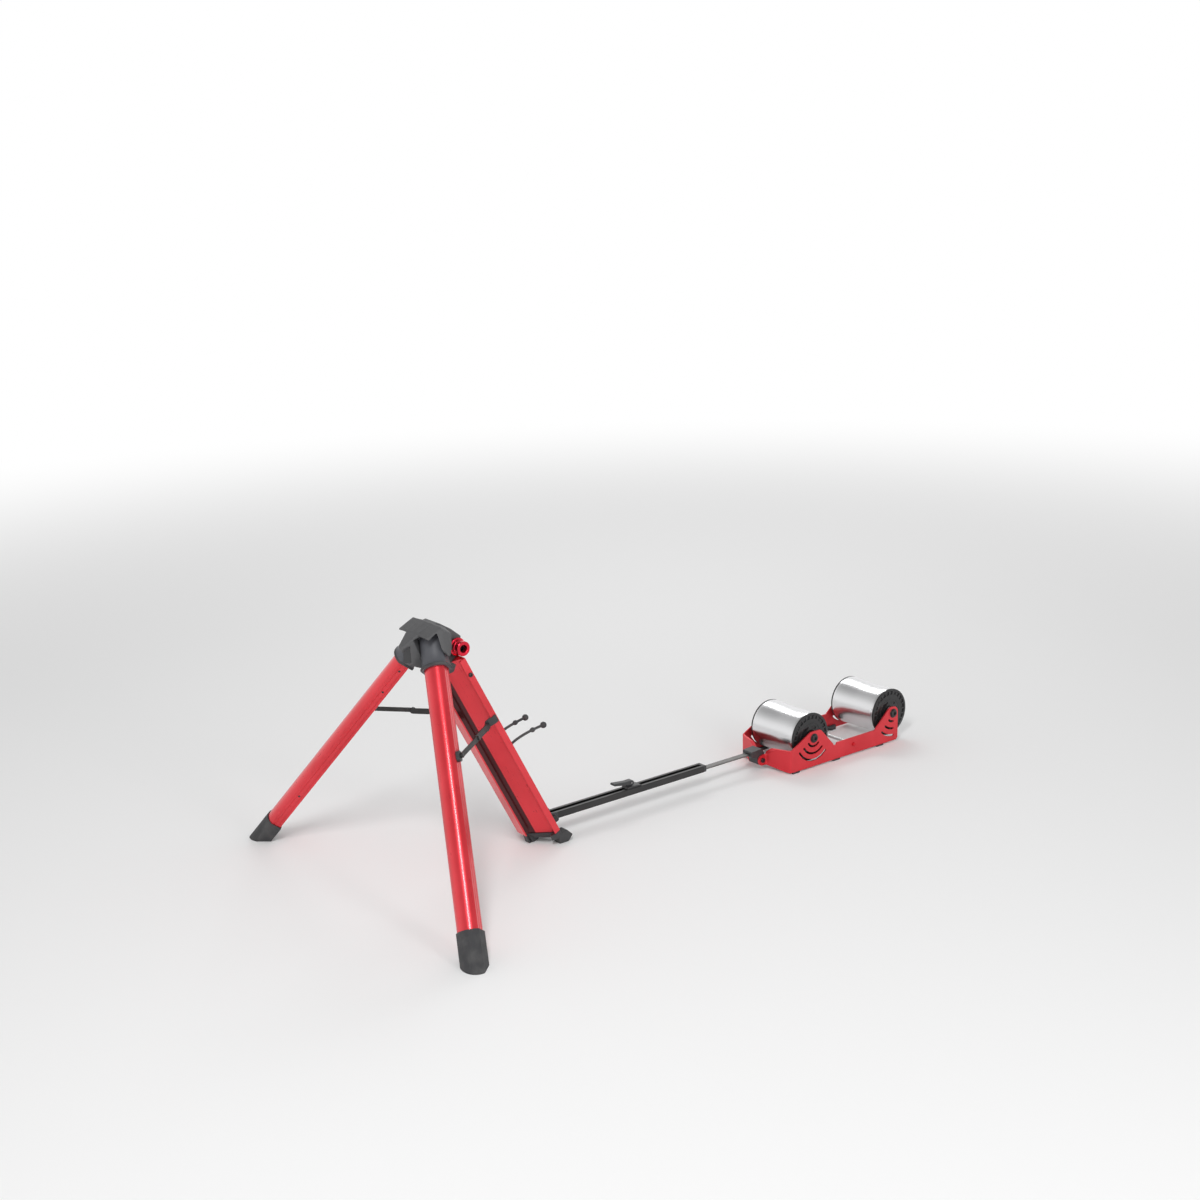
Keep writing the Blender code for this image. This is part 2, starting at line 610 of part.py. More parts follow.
def build_head(root):
    """The cast head: nose, two wings over the leg hoods, the fork axle's boss, a saddle."""
    head = piece("head_casting", soften(mirrored_hull(NOSE), 3 * MM, 1), "black_casting", root, 0)
    for name, side in SIDES:
        boolean(head, soften(one_side_hull(WING, side), 3 * MM, 1), "UNION", f"{name}_wing", "MANIFOLD")
        arch = [(side * y * MM, AXLE_HEIGHT + z * MM) for y, z in ARCH]
        opening = placed(sheet([arch], -110 * MM, -56 * MM), RAIL_VIEW)
        boolean(head, opening, "DIFFERENCE", f"cut_{name}_arch", "MANIFOLD")
        leg = LEGS[name]
        cheek_axis = hinge_axis(leg)
        outward = -leg.inward
        low, high = sorted((outward * (LEG_WIDTH / 2 + HOOD_WALL + HOOD_CLEARANCE), outward * PIN_REACH))
        cheek = rod(10 * MM, low, high, 20, 1 * MM)
        boolean(head, placed(cheek, cheek_axis), "UNION", f"{name}_cheek", "MANIFOLD")
    boolean(head, soften(mirrored_hull(SPINE), 3 * MM, 1), "UNION", "spine", "MANIFOLD")
    boss = rod(BOSS_RADIUS, -BOSS_HALF_WIDTH, BOSS_HALF_WIDTH, 24, 1 * MM)
    boolean(head, placed(boss, fork_axle_frame()), "UNION", "axle_boss", "MANIFOLD")
    half = REAR_WIDTH / 2 - 1 * MM
    saddle = hull([REAR @ Vector(p) for p in (
        (-half, 0, REAR_TOP + GAP), (half, 0, REAR_TOP + GAP), (-20 * MM, REAR_DEPTH - 2 * MM, REAR_TOP + GAP),
        (20 * MM, REAR_DEPTH - 2 * MM, REAR_TOP + GAP), (-half, REAR_FLANGE_DEPTH, REAR_TOP + GAP),
        (half, REAR_FLANGE_DEPTH, REAR_TOP + GAP), (-22 * MM, 2 * MM, SADDLE_TOP - 18 * MM),
        (22 * MM, 2 * MM, SADDLE_TOP - 18 * MM), (-22 * MM, 40 * MM, SADDLE_TOP),
        (22 * MM, 40 * MM, SADDLE_TOP))])
    boolean(head, soften(saddle, 2 * MM, 1), "UNION", "saddle", "MANIFOLD")
    # Room for each hood and leg to swing through the whole fold
    for name, leg in LEGS.items():
        turns = [leg.turned_by(leg.fold * step / FOLD_STEPS) for step in range(FOLD_STEPS + 1)]
        hood = [Vector(p) for section in hood_sections(HOOD_CLEARANCE, 4) for p in section]
        shank = [Vector((u, v, w)) for u, v in d_outline(HOOD_CLEARANCE, 6) for w in (-20 * MM, -170 * MM)]
        boolean(head, hull([m @ p for m in turns for p in hood]), "DIFFERENCE", f"cut_{name}_hood", "MANIFOLD")
        boolean(head, hull([m @ p for m in turns for p in shank]), "DIFFERENCE", f"cut_{name}_leg", "MANIFOLD")
        bore = rod(PIN_RADIUS + RUNNING, -PIN_REACH - 5 * MM, PIN_REACH, 20)
        if leg.side > 0:
            bore = rod(PIN_RADIUS + RUNNING, -PIN_REACH, PIN_REACH + 5 * MM, 20)
        boolean(head, placed(bore, hinge_axis(leg)), "DIFFERENCE", f"cut_{name}_pin_bore", "MANIFOLD")
        pin = rod(PIN_RADIUS, -PIN_REACH + 1 * MM, PIN_REACH - 1 * MM, 20, 0.5 * MM)
        piece(f"{name}_hinge_pin", placed(pin, hinge_axis(leg)), "bright_steel", root)
    axle_bore = rod(AXLE_TUBE_RADIUS + GAP, -80 * MM, 80 * MM, 20)
    boolean(head, placed(axle_bore, fork_axle_frame()), "DIFFERENCE", "cut_axle_bore", "MANIFOLD")
    recess = mirrored_hull(RECESS)
    boolean(head, recess, "DIFFERENCE", "cut_nose_recess", "MANIFOLD")


def fork_axle_frame():
    """W along the fork axle, to the rider's left."""
    return axes(Vector((0, 0, AXLE_HEIGHT)), Vector((1, 0, 0)), Vector((0, 0, 1)), Vector((0, -1, 0)))


def build_fork_mount(root):
    """The through tube, its red adapters that centre the fork's ends, and the clamp bolt."""
    half = DROPOUT_SPACING / 2
    start = half - ADAPTER_LENGTH
    seat = start + 14 * MM
    place = fork_axle_frame()
    body = tube(AXLE_TUBE_RADIUS, THRU_AXLE_BORE / 2, -seat, seat, 20)
    piece("axle_tube", placed(body, place), "grey_steel", root)
    for name, side in SIDES:
        inner = AXLE_TUBE_RADIUS + GAP
        bore = THRU_AXLE_BORE / 2
        groove = ADAPTER_RADIUS - 2 * MM
        outer = ADAPTER_RADIUS
        profile = [(inner, start), (ADAPTER_COLLAR_RADIUS, start), (ADAPTER_COLLAR_RADIUS, start + 4 * MM),
                   (outer, start + 5 * MM), (outer, start + 11 * MM), (groove, start + 12 * MM),
                   (groove, start + 15 * MM), (outer, start + 16 * MM), (outer, half - 1 * MM),
                   (outer - 1 * MM, half), (bore, half), (bore, seat + GAP), (inner, seat + GAP)]
        turned_cup = turned(profile, 20)
        mirror = place @ Matrix.Diagonal((1, 1, -side, 1))
        piece(f"{name}_axle_adapter", placed(turned_cup, mirror), "red_anodised", root)


def round_bar(length, width, steps=8):
    """A flat link with round ends, from pivot to pivot along U."""
    half = width / 2
    return arc((0, 0), half, 90, 270, steps) + arc((length, 0), half, -90, 90, steps)


def build_braces(name, leg, root, leg_body, front_body, rear_body):
    """Two flat links a side lock straight when the legs are open.

    The rear link lies against the lug and the front link outside it, so that the front
    one passes over the lug's flush rivet when the leg folds.
    """
    outward = -leg.inward
    normal = leg.hinge * outward
    face = LEG_WIDTH / 2 + GAP
    rear_in = face + LUG_THICKNESS + GAP
    rear_out = rear_in + LINK_THICKNESS
    front_in = rear_out + GAP
    front_out = front_in + LINK_THICKNESS
    points = brace_points(leg)
    to_middle = points["middle"] - points["knuckle"]
    back = points["middle"] - points["lug"]

    def layer(outlines, origin, along, low, high):
        turn = axes(origin + normal * low, along, normal.cross(along), normal)
        return placed(sheet(outlines, 0, high - low), turn)

    def link(origin, along, width, low, high, bored):
        holes = [circle((x, 0), RIVET_RADIUS + RUNNING, 12) for x in bored]
        outline = round_bar(along.length, width, 6)
        return layer([outline] + holes, origin, along.normalized(), low, high)

    def rivet(origin, low, high, head):
        top = high + GAP
        profile = [(0, low), (RIVET_RADIUS, low), (RIVET_RADIUS, top), (head, top),
                   (head, top + RIVET_HEAD * 0.6), (head * 0.6, top + RIVET_HEAD), (0, top + RIVET_HEAD)]
        turn = axes(origin, leg.down, normal.cross(leg.down), normal)
        return placed(turned(profile, 12), turn)

    # Knuckle, a spacer on the side wall of the leg that carries the front link
    reach = KNUCKLE_HALF
    knuckle = rounded([(-reach, -7 * MM), (reach, -7 * MM), (reach, 7 * MM), (-reach, 7 * MM)], [6 * MM] * 4)
    hole = circle((0, 0), RIVET_RADIUS + RUNNING, 12)
    spacer = layer([knuckle, hole], points["knuckle"], leg.down, face, rear_out)
    piece(f"{name}_brace_knuckle", spacer, "black_plastic", leg_body)
    pin = rivet(points["knuckle"], face + GAP, front_out, RIVET_HEAD_RADIUS)
    piece(f"{name}_knuckle_rivet", pin, "black_anodised", leg_body)
    bored = (0, to_middle.length)
    front = link(points["knuckle"], to_middle, FRONT_LINK_WIDTH, front_in, front_out, bored)
    piece(f"{name}_brace_front_link", front, "grey_steel", front_body)
    rear = link(points["lug"], back, REAR_LINK_WIDTH, rear_in, rear_out, (0,))
    piece(f"{name}_brace_rear_link", rear, "grey_steel", rear_body)
    # The links turn at steady ratios to the fold, so they part here, and this rivet is in the front one
    pin = rivet(points["middle"], front_in, front_out, RIVET_HEAD_RADIUS)
    piece(f"{name}_middle_rivet", pin, "black_anodised", front_body)
    turn = axes(points["lug"], leg.down, normal.cross(leg.down), normal)
    pin = rod(RIVET_RADIUS, face + 2 * MM, rear_out, 12)
    piece(f"{name}_lug_rivet", placed(pin, turn), "black_anodised", root)
    build_lug(name, leg, root, face, rear_in - GAP)


def brace_points(leg):
    """The three pivots of one side's brace, on the plane through the leg's hinge point."""
    knuckle = leg.matrix @ Vector((0, BRACE_DEPTH, -KNUCKLE_DOWN))
    lug = leg.folded @ Vector((0, BRACE_DEPTH, -LUG_DOWN))
    spread = (knuckle - lug).length
    difference = KNUCKLE_DOWN - LUG_DOWN
    front = (spread + difference) / 2
    middle = knuckle + (lug - knuckle).normalized() * front
    return {"knuckle": knuckle, "middle": middle, "lug": lug}


def build_lug(name, leg, root, low, high):
    """The brace's lug: a foot on the rear leg's flange and a pad square to the links."""
    half = REAR_WIDTH / 2
    outward = -leg.inward
    across = leg.side

    def section(depth, height):
        return leg.rear_section(outward * depth, height + LEG_CENTRE)

    pad_low, pad_high = -6.2 * MM, 6.5 * MM
    outline = [(across * (half + GAP), 2 * MM), (across * (half + 2 * MM), 2 * MM),
               (across * (half + 2 * MM), 9 * MM), section(high, -5.8 * MM), section(high, pad_high),
               section(low + 1 * MM, pad_high), section(low + 1 * MM, pad_low),
               (across * (half - 3.6 * MM), REAR_FLANGE_DEPTH + GAP),
               (across * (half + GAP), REAR_FLANGE_DEPTH + GAP)]
    up = PIVOT_UP - LUG_DOWN
    body = placed(sheet([outline], up - LUG_HALF, up + LUG_HALF), REAR)
    lug = piece(f"{name}_brace_lug", body, "black_plastic", root)
    bore = rod(RIVET_RADIUS + RUNNING, -40 * MM, 40 * MM, 16)
    points = brace_points(leg)
    turn = axes(points["lug"], leg.front, -leg.down, leg.hinge)
    boolean(lug, placed(bore, turn), "DIFFERENCE", f"cut_{name}_lug_bore")


def build_strap(name, side, root):
    """A rubber tie strap: a cord with a bead and a ball that hooks back through the leg."""
    start = REAR @ Vector((side * STRAP_SIDE, -GAP, STRAP_UP))
    bend = start + (-REAR_FRONT * 0.75 + REAR_UP * 0.1).normalized() * 30 * MM
    end = start + Vector((80, side * 3, 25)).normalized() * STRAP_REACH
    thin = STRAP_RADIUS
    rows = [(0, STRAP_FLANGE_RADIUS), (0.03, STRAP_FLANGE_RADIUS), (0.05, thin), (0.15, thin), (0.3, thin),
            (0.45, thin), (0.6, thin), (0.7, thin), (0.73, STRAP_BEAD_RADIUS * 0.8), (0.76, STRAP_BEAD_RADIUS),
            (0.79, STRAP_BEAD_RADIUS * 0.8), (0.82, thin), (1, thin)]
    rings = []
    for t, radius in rows:
        point = start * (1 - t) ** 2 + bend * 2 * t * (1 - t) + end * t ** 2
        ahead = ((bend - start) * (1 - t) + (end - bend) * t).normalized() if t > 0.04 else -REAR_FRONT
        level = ahead.cross(ACROSS).normalized()
        sideways = level.cross(ahead)
        angles = [2 * pi * k / 10 for k in range(10)]
        rings.append([point + (level * cos(a) + sideways * sin(a)) * radius for a in angles])
    strap = piece(f"{name}_tie_strap", loft(rings), "black_rubber", root, 50)
    ball = bmesh.new()
    bmesh.ops.create_icosphere(ball, subdivisions=2, radius=STRAP_BALL_RADIUS)
    bmesh.ops.translate(ball, verts=ball.verts, vec=end)
    boolean(strap, ball, "UNION", f"{name}_strap_ball")


def cross_rod(radius, x, z, low, high, steps=20, chamfer=0.0):
    """A round bar along Y between these two places."""
    turn = axes(Vector((x, 0, z)), Vector((1, 0, 0)), Vector((0, 0, -1)), Vector((0, 1, 0)))
    return placed(rod(radius, low, high, steps, chamfer), turn)


def headed_pin(radius, head, reach, x, z, spacer=0.0, spacer_end=0.0):
    """A pin along Y with a round head past each side, and perhaps a spacer between."""
    near, far = reach + GAP, reach + 3.5 * MM
    half = [(spacer, spacer_end), (radius, spacer_end)] if spacer else []
    half += [(radius, near), (head, near), (head, far - 0.8 * MM), (head - 0.8 * MM, far), (0, far)]
    profile = [(r, -y) for r, y in reversed(half)] + half
    turn = axes(Vector((x, 0, z)), Vector((1, 0, 0)), Vector((0, 0, -1)), Vector((0, 1, 0)))
    return placed(turned(profile, 14), turn)


def build_rail_bracket(root):
    """A plate on the back of the rear leg with two ears for the rail's hinge pin."""
    ear_in = RAIL_WIDTH / 2 + GAP
    ear_out = ear_in + BRACKET_EAR
    low, high = 22 * MM, 66 * MM
    plate = hull([REAR @ Vector((y, n, w)) for y in (-20 * MM, 20 * MM) for n in (-GAP - BRACKET_PLATE, -GAP)
                  for w in (REAR_BOTTOM + 8 * MM, high)])
    bracket = piece("rail_bracket", soften(plate, 1 * MM, 1), "black_plastic", root)
    back = REAR @ Vector((0, -GAP - 1 * MM, high - 6 * MM))
    foot = REAR @ Vector((0, -GAP - 1 * MM, REAR_BOTTOM + 9 * MM))
    outline = rounded([(back.x, back.z), (foot.x, foot.z), (RAIL_PIVOT_X + 4 * MM, 31 * MM),
                       (RAIL_PIVOT_X + 12 * MM, 33 * MM), (RAIL_PIVOT_X + 9 * MM, RAIL_PIVOT_Z + 9 * MM)],
                      [0, 0, 4 * MM, 4 * MM, 6 * MM])
    for name, side in SIDES:
        a, b = sorted((-side * ear_in, -side * ear_out))
        boolean(bracket, placed(sheet([outline], a, b), PROFILE_VIEW), "UNION", f"{name}_bracket_ear")
    bore = cross_rod(RAIL_PIN_RADIUS + RUNNING, RAIL_PIVOT_X, RAIL_PIVOT_Z, -40 * MM, 40 * MM, 16)
    boolean(bracket, bore, "DIFFERENCE", "cut_bracket_bore")
    pin = headed_pin(RAIL_PIN_RADIUS, 5 * MM, ear_out, RAIL_PIVOT_X, RAIL_PIVOT_Z)
    piece("rail_hinge_pin", pin, "black_anodised", root)


def build_rail(body):
    half = RAIL_WIDTH / 2
    wall = RAIL_WALL
    top = RAIL_BOTTOM + RAIL_HEIGHT
    slot = RAIL_SLOT / 2
    lip = 2.2 * MM
    right = [(half, RAIL_BOTTOM), (half, top - 1 * MM), (half - 1 * MM, top), (slot, top), (slot, top - lip),
             (half - wall, top - lip), (half - wall, RAIL_BOTTOM + wall)]
    outline = right + [(-y, z) for y, z in reversed(right)]
    channel = placed(sheet([outline], RAIL_START, RAIL_END), RAIL_VIEW)
    rail = piece("outer_rail", channel, "black_anodised", body)
    bore = cross_rod(RAIL_PIN_RADIUS + RUNNING, RAIL_PIVOT_X, RAIL_PIVOT_Z, -40 * MM, 40 * MM)
    boolean(rail, bore, "DIFFERENCE", "cut_rail_bore")
    # Nylon end guide, with the bar's opening
    floor = RAIL_BOTTOM + wall
    guide = rounded([(-half, RAIL_BOTTOM), (half, RAIL_BOTTOM), (half, top), (-half, top)], [1.5 * MM] * 4, 3)
    window_half = BAR_WIDTH / 2 + RUNNING
    low, high = floor + GAP - RUNNING / 2, floor + GAP + BAR_THICKNESS + RUNNING
    window = [(-window_half, low), (window_half, low), (window_half, high), (-window_half, high)]
    cap = sheet([guide, window], RAIL_END + GAP, RAIL_END + 7 * MM)
    piece("rail_end_guide", placed(cap, RAIL_VIEW), "black_plastic", body)


def build_bar(body):
    floor = RAIL_BOTTOM + RAIL_WALL + GAP
    half = BAR_WIDTH / 2
    top = floor + BAR_THICKNESS
    section = rounded([(-half, floor), (half, floor), (half, top), (-half, top)], [0.8 * MM] * 4, 2)
    piece("inner_bar", placed(sheet([section], BAR_START, BAR_END), RAIL_VIEW), "grey_steel", body)


def build_clamp(body, lever_body):
    """The cam clamp on the rail: a shoe on the bar, a stud, a saddle and a lever."""
    top = RAIL_BOTTOM + RAIL_HEIGHT
    bar_top = RAIL_BOTTOM + RAIL_WALL + GAP + BAR_THICKNESS
    half = RAIL_WIDTH / 2
    shoe_half = half - RAIL_WALL - GAP
    low_x, high_x = CLAMP_X - CLAMP_LENGTH / 2, CLAMP_X + CLAMP_LENGTH / 2
    saddle_top = CAM_Z - 6 * MM
    cam_z = CAM_Z
    lever_half = LEVER_WIDTH / 2
    shoe = hull([(x, y, z) for x in (low_x, high_x) for y in (-shoe_half, shoe_half)
                 for z in (bar_top + GAP, top - 2.2 * MM - GAP)])
    bolt = piece("clamp_bolt", shoe, "bright_steel", body)
    stud = rod(3 * MM, bar_top + 1 * MM, cam_z + 1.4 * MM, 16)
    boolean(bolt, placed(stud, Matrix.Translation((CLAMP_X, 0, 0))), "UNION", "clamp_stud")
    pin = cross_rod(1.5 * MM, CLAMP_X, cam_z, -lever_half, lever_half, 12)
    boolean(bolt, pin, "UNION", "clamp_cross_pin")
    outline = rounded([(low_x, top + GAP), (high_x + 8 * MM, top + GAP), (high_x + 6 * MM, top + 2.5 * MM),
                       (high_x - 4 * MM, saddle_top), (low_x + 3 * MM, saddle_top)],
                      [0, 0, 1 * MM, 2 * MM, 2 * MM])
    saddle = piece("clamp_saddle", placed(sheet([outline], -half + 2 * MM, half - 2 * MM), PROFILE_VIEW),
                   "black_plastic", body)
    hole = rod(3 * MM + RUNNING, top - 5 * MM, top + 20 * MM, 16)
    boolean(saddle, placed(hole, Matrix.Translation((CLAMP_X, 0, 0))), "DIFFERENCE", "cut_saddle_hole")
    # The lever lies forward along the rail, its cam over the saddle
    cam = arc((CLAMP_X, cam_z), 5.6 * MM, -90, 90, 8)
    handle = [(CLAMP_X - 14 * MM, cam_z + 5.4 * MM), (CLAMP_X - LEVER_LENGTH, cam_z + 9 * MM),
              (CLAMP_X - LEVER_LENGTH - 2 * MM, cam_z + 6 * MM),
              (CLAMP_X - LEVER_LENGTH + 1 * MM, cam_z + 3.5 * MM),
              (CLAMP_X - 16 * MM, cam_z - 1.5 * MM)]
    lever = piece("clamp_lever", placed(sheet([cam + handle], -lever_half, lever_half), PROFILE_VIEW),
                  "black_plastic", lever_body)
    slot = hull([(CLAMP_X + dx, y, z) for dx in (-8 * MM, 9 * MM) for y in (-3.4 * MM, 3.4 * MM)
                 for z in (cam_z - 20 * MM, cam_z + 3.5 * MM)])
    boolean(lever, slot, "DIFFERENCE", "cut_lever_slot")
    bore = cross_rod(1.5 * MM + RUNNING, CLAMP_X, cam_z, -30 * MM, 30 * MM, 12)
    boolean(lever, bore, "DIFFERENCE", "cut_lever_bore")


def build_clevis(body):
    """The black block on the bar's end, with the pin that the roller frame hinges on."""
    half = EAR_HALF_GAP - GAP
    floor = RAIL_BOTTOM + RAIL_WALL + GAP
    bar_top = floor + BAR_THICKNESS
    x, z = FRAME_PIVOT_X, FRAME_PIVOT_Z
    outline = rounded([(x - 30 * MM, floor - 4 * MM), (x - 14 * MM, floor - 6 * MM), (x - 11 * MM, z - 9 * MM),
                       (x + 6 * MM, z - 10 * MM), (x + 7.5 * MM, z + 14 * MM), (x + 2 * MM, bar_top + 8 * MM),
                       (x - 30 * MM, bar_top + 6 * MM)],
                      [2 * MM, 3 * MM, 4 * MM, 4 * MM, 4 * MM, 4 * MM, 3 * MM])
    clevis = piece("bar_clevis", placed(sheet([outline], -half, half), PROFILE_VIEW), "black_plastic", body)
    seat_half = BAR_WIDTH / 2 + GAP
    seat = hull([(sx, y, sz) for sx in (x - 60 * MM, BAR_END + GAP) for y in (-seat_half, seat_half)
                 for sz in (floor - GAP, bar_top + GAP)])
    boolean(clevis, seat, "DIFFERENCE", "cut_bar_seat")
    bore = cross_rod(CLEVIS_PIN_RADIUS + RUNNING, x, z, -50 * MM, 50 * MM, 16)
    boolean(clevis, bore, "DIFFERENCE", "cut_clevis_bore")
    reach = EAR_HALF_GAP + PLATE_THICKNESS
    piece("clevis_pin", headed_pin(CLEVIS_PIN_RADIUS, 5.5 * MM, reach, x, z), "black_anodised", body)


def side_plate_outline():
    """The side view of a plate: nose ear, two peaks around the axles, slots below them."""
    x, z = FRAME_PIVOT_X, FRAME_PIVOT_Z
    front, rear = FRONT_DRUM_X, REAR_DRUM_X
    top = PLATE_TOP
    peak_top = DRUM_Z + PEAK_RADIUS
    notch, low = NOTCH_X, NOTCH_BOTTOM
    return rounded([
        (x - EAR_RADIUS, z - EAR_RADIUS), (x + 10 * MM, z - EAR_RADIUS), (PLATE_BEND_X - 4 * MM, PLATE_BOTTOM),
        (rear + 11 * MM, PLATE_BOTTOM), (rear + PEAK_RADIUS, PLATE_BOTTOM + 5 * MM),
        (rear + PEAK_RADIUS, peak_top), (rear - 11 * MM, peak_top), (rear - 59 * MM, top),
        (notch + 13 * MM, top), (notch + 9 * MM, low), (notch + 3 * MM, low), (notch, top),
        (front + 20 * MM, peak_top), (front - 9.5 * MM, peak_top), (PLATE_BEND_X, SHOULDER_TOP + 1 * MM),
        (x + 17 * MM, SHOULDER_TOP - 1 * MM), (x + 11 * MM, z + EAR_RADIUS), (x - EAR_RADIUS, z + EAR_RADIUS)],
        [EAR_RADIUS, 0, 2 * MM, 2 * MM, 3 * MM, PEAK_RADIUS - 1 * MM, 14 * MM, 3 * MM, 1.5 * MM, 2 * MM, 2 * MM,
         1.5 * MM, 13 * MM, 13 * MM, 3 * MM, 2 * MM, 3 * MM, EAR_RADIUS], 4)


def build_side_plate(name, side, body):
    """Bent sheet: its plan is a ribbon, its side view the drawing with the slots."""
    outer = PLATE_SPACING / 2
    inner = outer - PLATE_THICKNESS
    ear_in, ear_out = EAR_HALF_GAP, EAR_HALF_GAP + PLATE_THICKNESS
    rear = REAR_DRUM_X + PEAK_RADIUS + 2 * MM
    nose = FRAME_PIVOT_X - EAR_RADIUS - 2 * MM
    slant = PLATE_THICKNESS * 1.02
    plan = [(nose, ear_in), (EAR_BEND_X + slant, ear_in), (PLATE_BEND_X + slant * 0.6, inner), (rear, inner),
            (rear, outer), (PLATE_BEND_X - slant * 0.4, outer), (EAR_BEND_X, ear_out), (nose, ear_out)]
    radii = [0, 2 * MM, 2 * MM, 0, 0, 4 * MM, 4 * MM, 0]
    ribbon = sheet([[(x, side * y) for x, y in rounded(plan, radii, 3)]], 0, DRUM_Z + 2 * PEAK_RADIUS)
    plate = piece(f"{name}_side_plate", placed(ribbon, PLAN_VIEW), "red_sheet", body, 0)
    holes = [circle((x, DRUM_Z), DRUM_AXLE_RADIUS + GAP, 20) for x in (FRONT_DRUM_X, REAR_DRUM_X)]
    holes.append(circle((FRAME_PIVOT_X, FRAME_PIVOT_Z), CLEVIS_PIN_RADIUS + RUNNING, 16))
    holes.append(circle((TIE_X, TIE_Z), 2.5 * MM + GAP, 16))
    for radius in FRONT_SLOT_RADII:
        holes.append(arc_slot((FRONT_DRUM_X, DRUM_Z), radius, SLOT_WIDTH, *FRONT_SLOT_ARC))
    for radius in REAR_SLOT_RADII:
        holes.append(arc_slot((REAR_DRUM_X, DRUM_Z), radius, SLOT_WIDTH, *REAR_SLOT_ARC))
    view = sheet([side_plate_outline()] + holes, -outer - 5 * MM, outer + 5 * MM)
    boolean(plate, placed(view, PROFILE_VIEW), "INTERSECT", f"{name}_plate_drawing")


def build_frame_details(body):
    """The tie rod, rubber feet, drum axles and their bolts."""
    outer = PLATE_SPACING / 2
    inner = outer - PLATE_THICKNESS
    tie = headed_pin(2.5 * MM, 4.5 * MM, outer, TIE_X, TIE_Z, TIE_RADIUS, inner - GAP)
    piece("frame_tie_rod", tie, "black_anodised", body)
    for name, side in SIDES:
        low, high = sorted((side * (inner - 6 * MM), side * (inner - GAP)))
        outline = []
        for x in FOOT_PAD_XS:
            outline += [(x - 9 * MM, 4 * MM), (x - 8 * MM, 0), (x + 8 * MM, 0), (x + 9 * MM, 4 * MM)]
        outline += [(FOOT_PAD_XS[-1] + 9 * MM, 11 * MM), (FOOT_PAD_XS[0] - 9 * MM, 11 * MM)]
        strip = sheet([outline], -high, -low)
        piece(f"{name}_foot_strip", placed(strip, PROFILE_VIEW), "black_rubber", body)
    for label, x in (("front", FRONT_DRUM_X), ("rear", REAR_DRUM_X)):
        axle = headed_pin(DRUM_AXLE_RADIUS, AXLE_BOLT_RADIUS, outer, x, DRUM_Z)
        piece(f"{label}_axle", axle, "bright_steel", body)


def drum_frame(x):
    return axes(Vector((x, 0, DRUM_Z)), Vector((1, 0, 0)), Vector((0, 0, -1)), Vector((0, 1, 0)))


def build_drum(label, x, body, frame_body):
    """A turned aluminium drum with a slight waist, two ribbed caps and their bearings."""
    half = DRUM_LENGTH / 2
    place = drum_frame(x)
    outer = []
    steps = 4
    for i in range(steps + 1):
        w = -half + DRUM_LENGTH * i / steps
        outer.append((DRUM_RADIUS - DRUM_WAIST * cos(w / half * pi / 2) ** 2, w))
    inner = DRUM_RADIUS - DRUM_WAIST - DRUM_WALL
    shell = [(inner, -half)] + outer + [(inner, half)]
    piece(f"{label}_drum", placed(turned(shell, 36), place), "turned_aluminium", body)
    for name, side in SIDES:
        start = half + GAP
        face = start + CAP_THICKNESS
        rim = DRUM_RADIUS - 4.5 * MM
        dish = CAP_HUB_RADIUS + 16 * MM
        spigot = inner - GAP
        back = start - 3 * MM
        floor = face - 2.4 * MM
        profile = [(BEARING_RADIUS + GAP, start - 9 * MM), (CAP_HUB_RADIUS, start - 9 * MM),
                   (CAP_HUB_RADIUS, back), (spigot - 3 * MM, back), (spigot - 3 * MM, start - 8 * MM),
                   (spigot, start - 8 * MM), (spigot, start), (DRUM_RADIUS, start),
                   (DRUM_RADIUS, face - 0.8 * MM), (DRUM_RADIUS - 0.8 * MM, face), (rim, face),
                   (rim - 0.6 * MM, floor), (dish + 0.6 * MM, floor), (dish, face), (dish - 4 * MM, face),
                   (dish - 5 * MM, face - 1.2 * MM), (CAP_HUB_RADIUS, face - 1.2 * MM),
                   (CAP_HUB_RADIUS - 1 * MM, face), (BEARING_RADIUS + GAP, face)]
        mirror = place @ Matrix.Diagonal((1, 1, side, 1))
        cap = piece(f"{label}_drum_{name}_cap", placed(turned(profile, 24), mirror), "black_plastic", body)
        ribs = []
        for k in range(CAP_RIBS):
            rib = hull([(u, v, w) for u in (dish - 1 * MM, rim + 1 * MM) for v in (-0.9 * MM, 0.9 * MM)
                        for w in (face - 3 * MM, face - 0.5 * MM)])
            ribs.append(placed(rib, Matrix.Rotation(2 * pi * k / CAP_RIBS, 4, "Z")))
        boolean(cap, placed(merge(*ribs), mirror), "UNION", f"{label}_{name}_cap_ribs")
        low = half - 5 * MM
        bearing = tube(BEARING_RADIUS, DRUM_AXLE_RADIUS + RUNNING, low, low + BEARING_WIDTH, 18)
        piece(f"{label}_drum_{name}_bearing", placed(bearing, mirror), "bright_steel", body)
    # Inside: a carrier of magnets on the axle, which brakes the spinning drum
    carrier = tube(30 * MM, DRUM_AXLE_RADIUS + GAP, -14 * MM, 14 * MM, 16)
    made = piece(f"{label}_magnet_carrier", placed(carrier, place), "grey_steel", frame_body)
    magnets = []
    for k in range(4):
        magnet = hull([(u, v, w) for u in (26 * MM, 42 * MM) for v in (-8 * MM, 8 * MM)
                       for w in (-10 * MM, 10 * MM)])
        magnets.append(placed(magnet, Matrix.Rotation(pi / 2 * k, 4, "Z")))
    boolean(made, placed(merge(*magnets), place), "UNION", f"{label}_magnets")


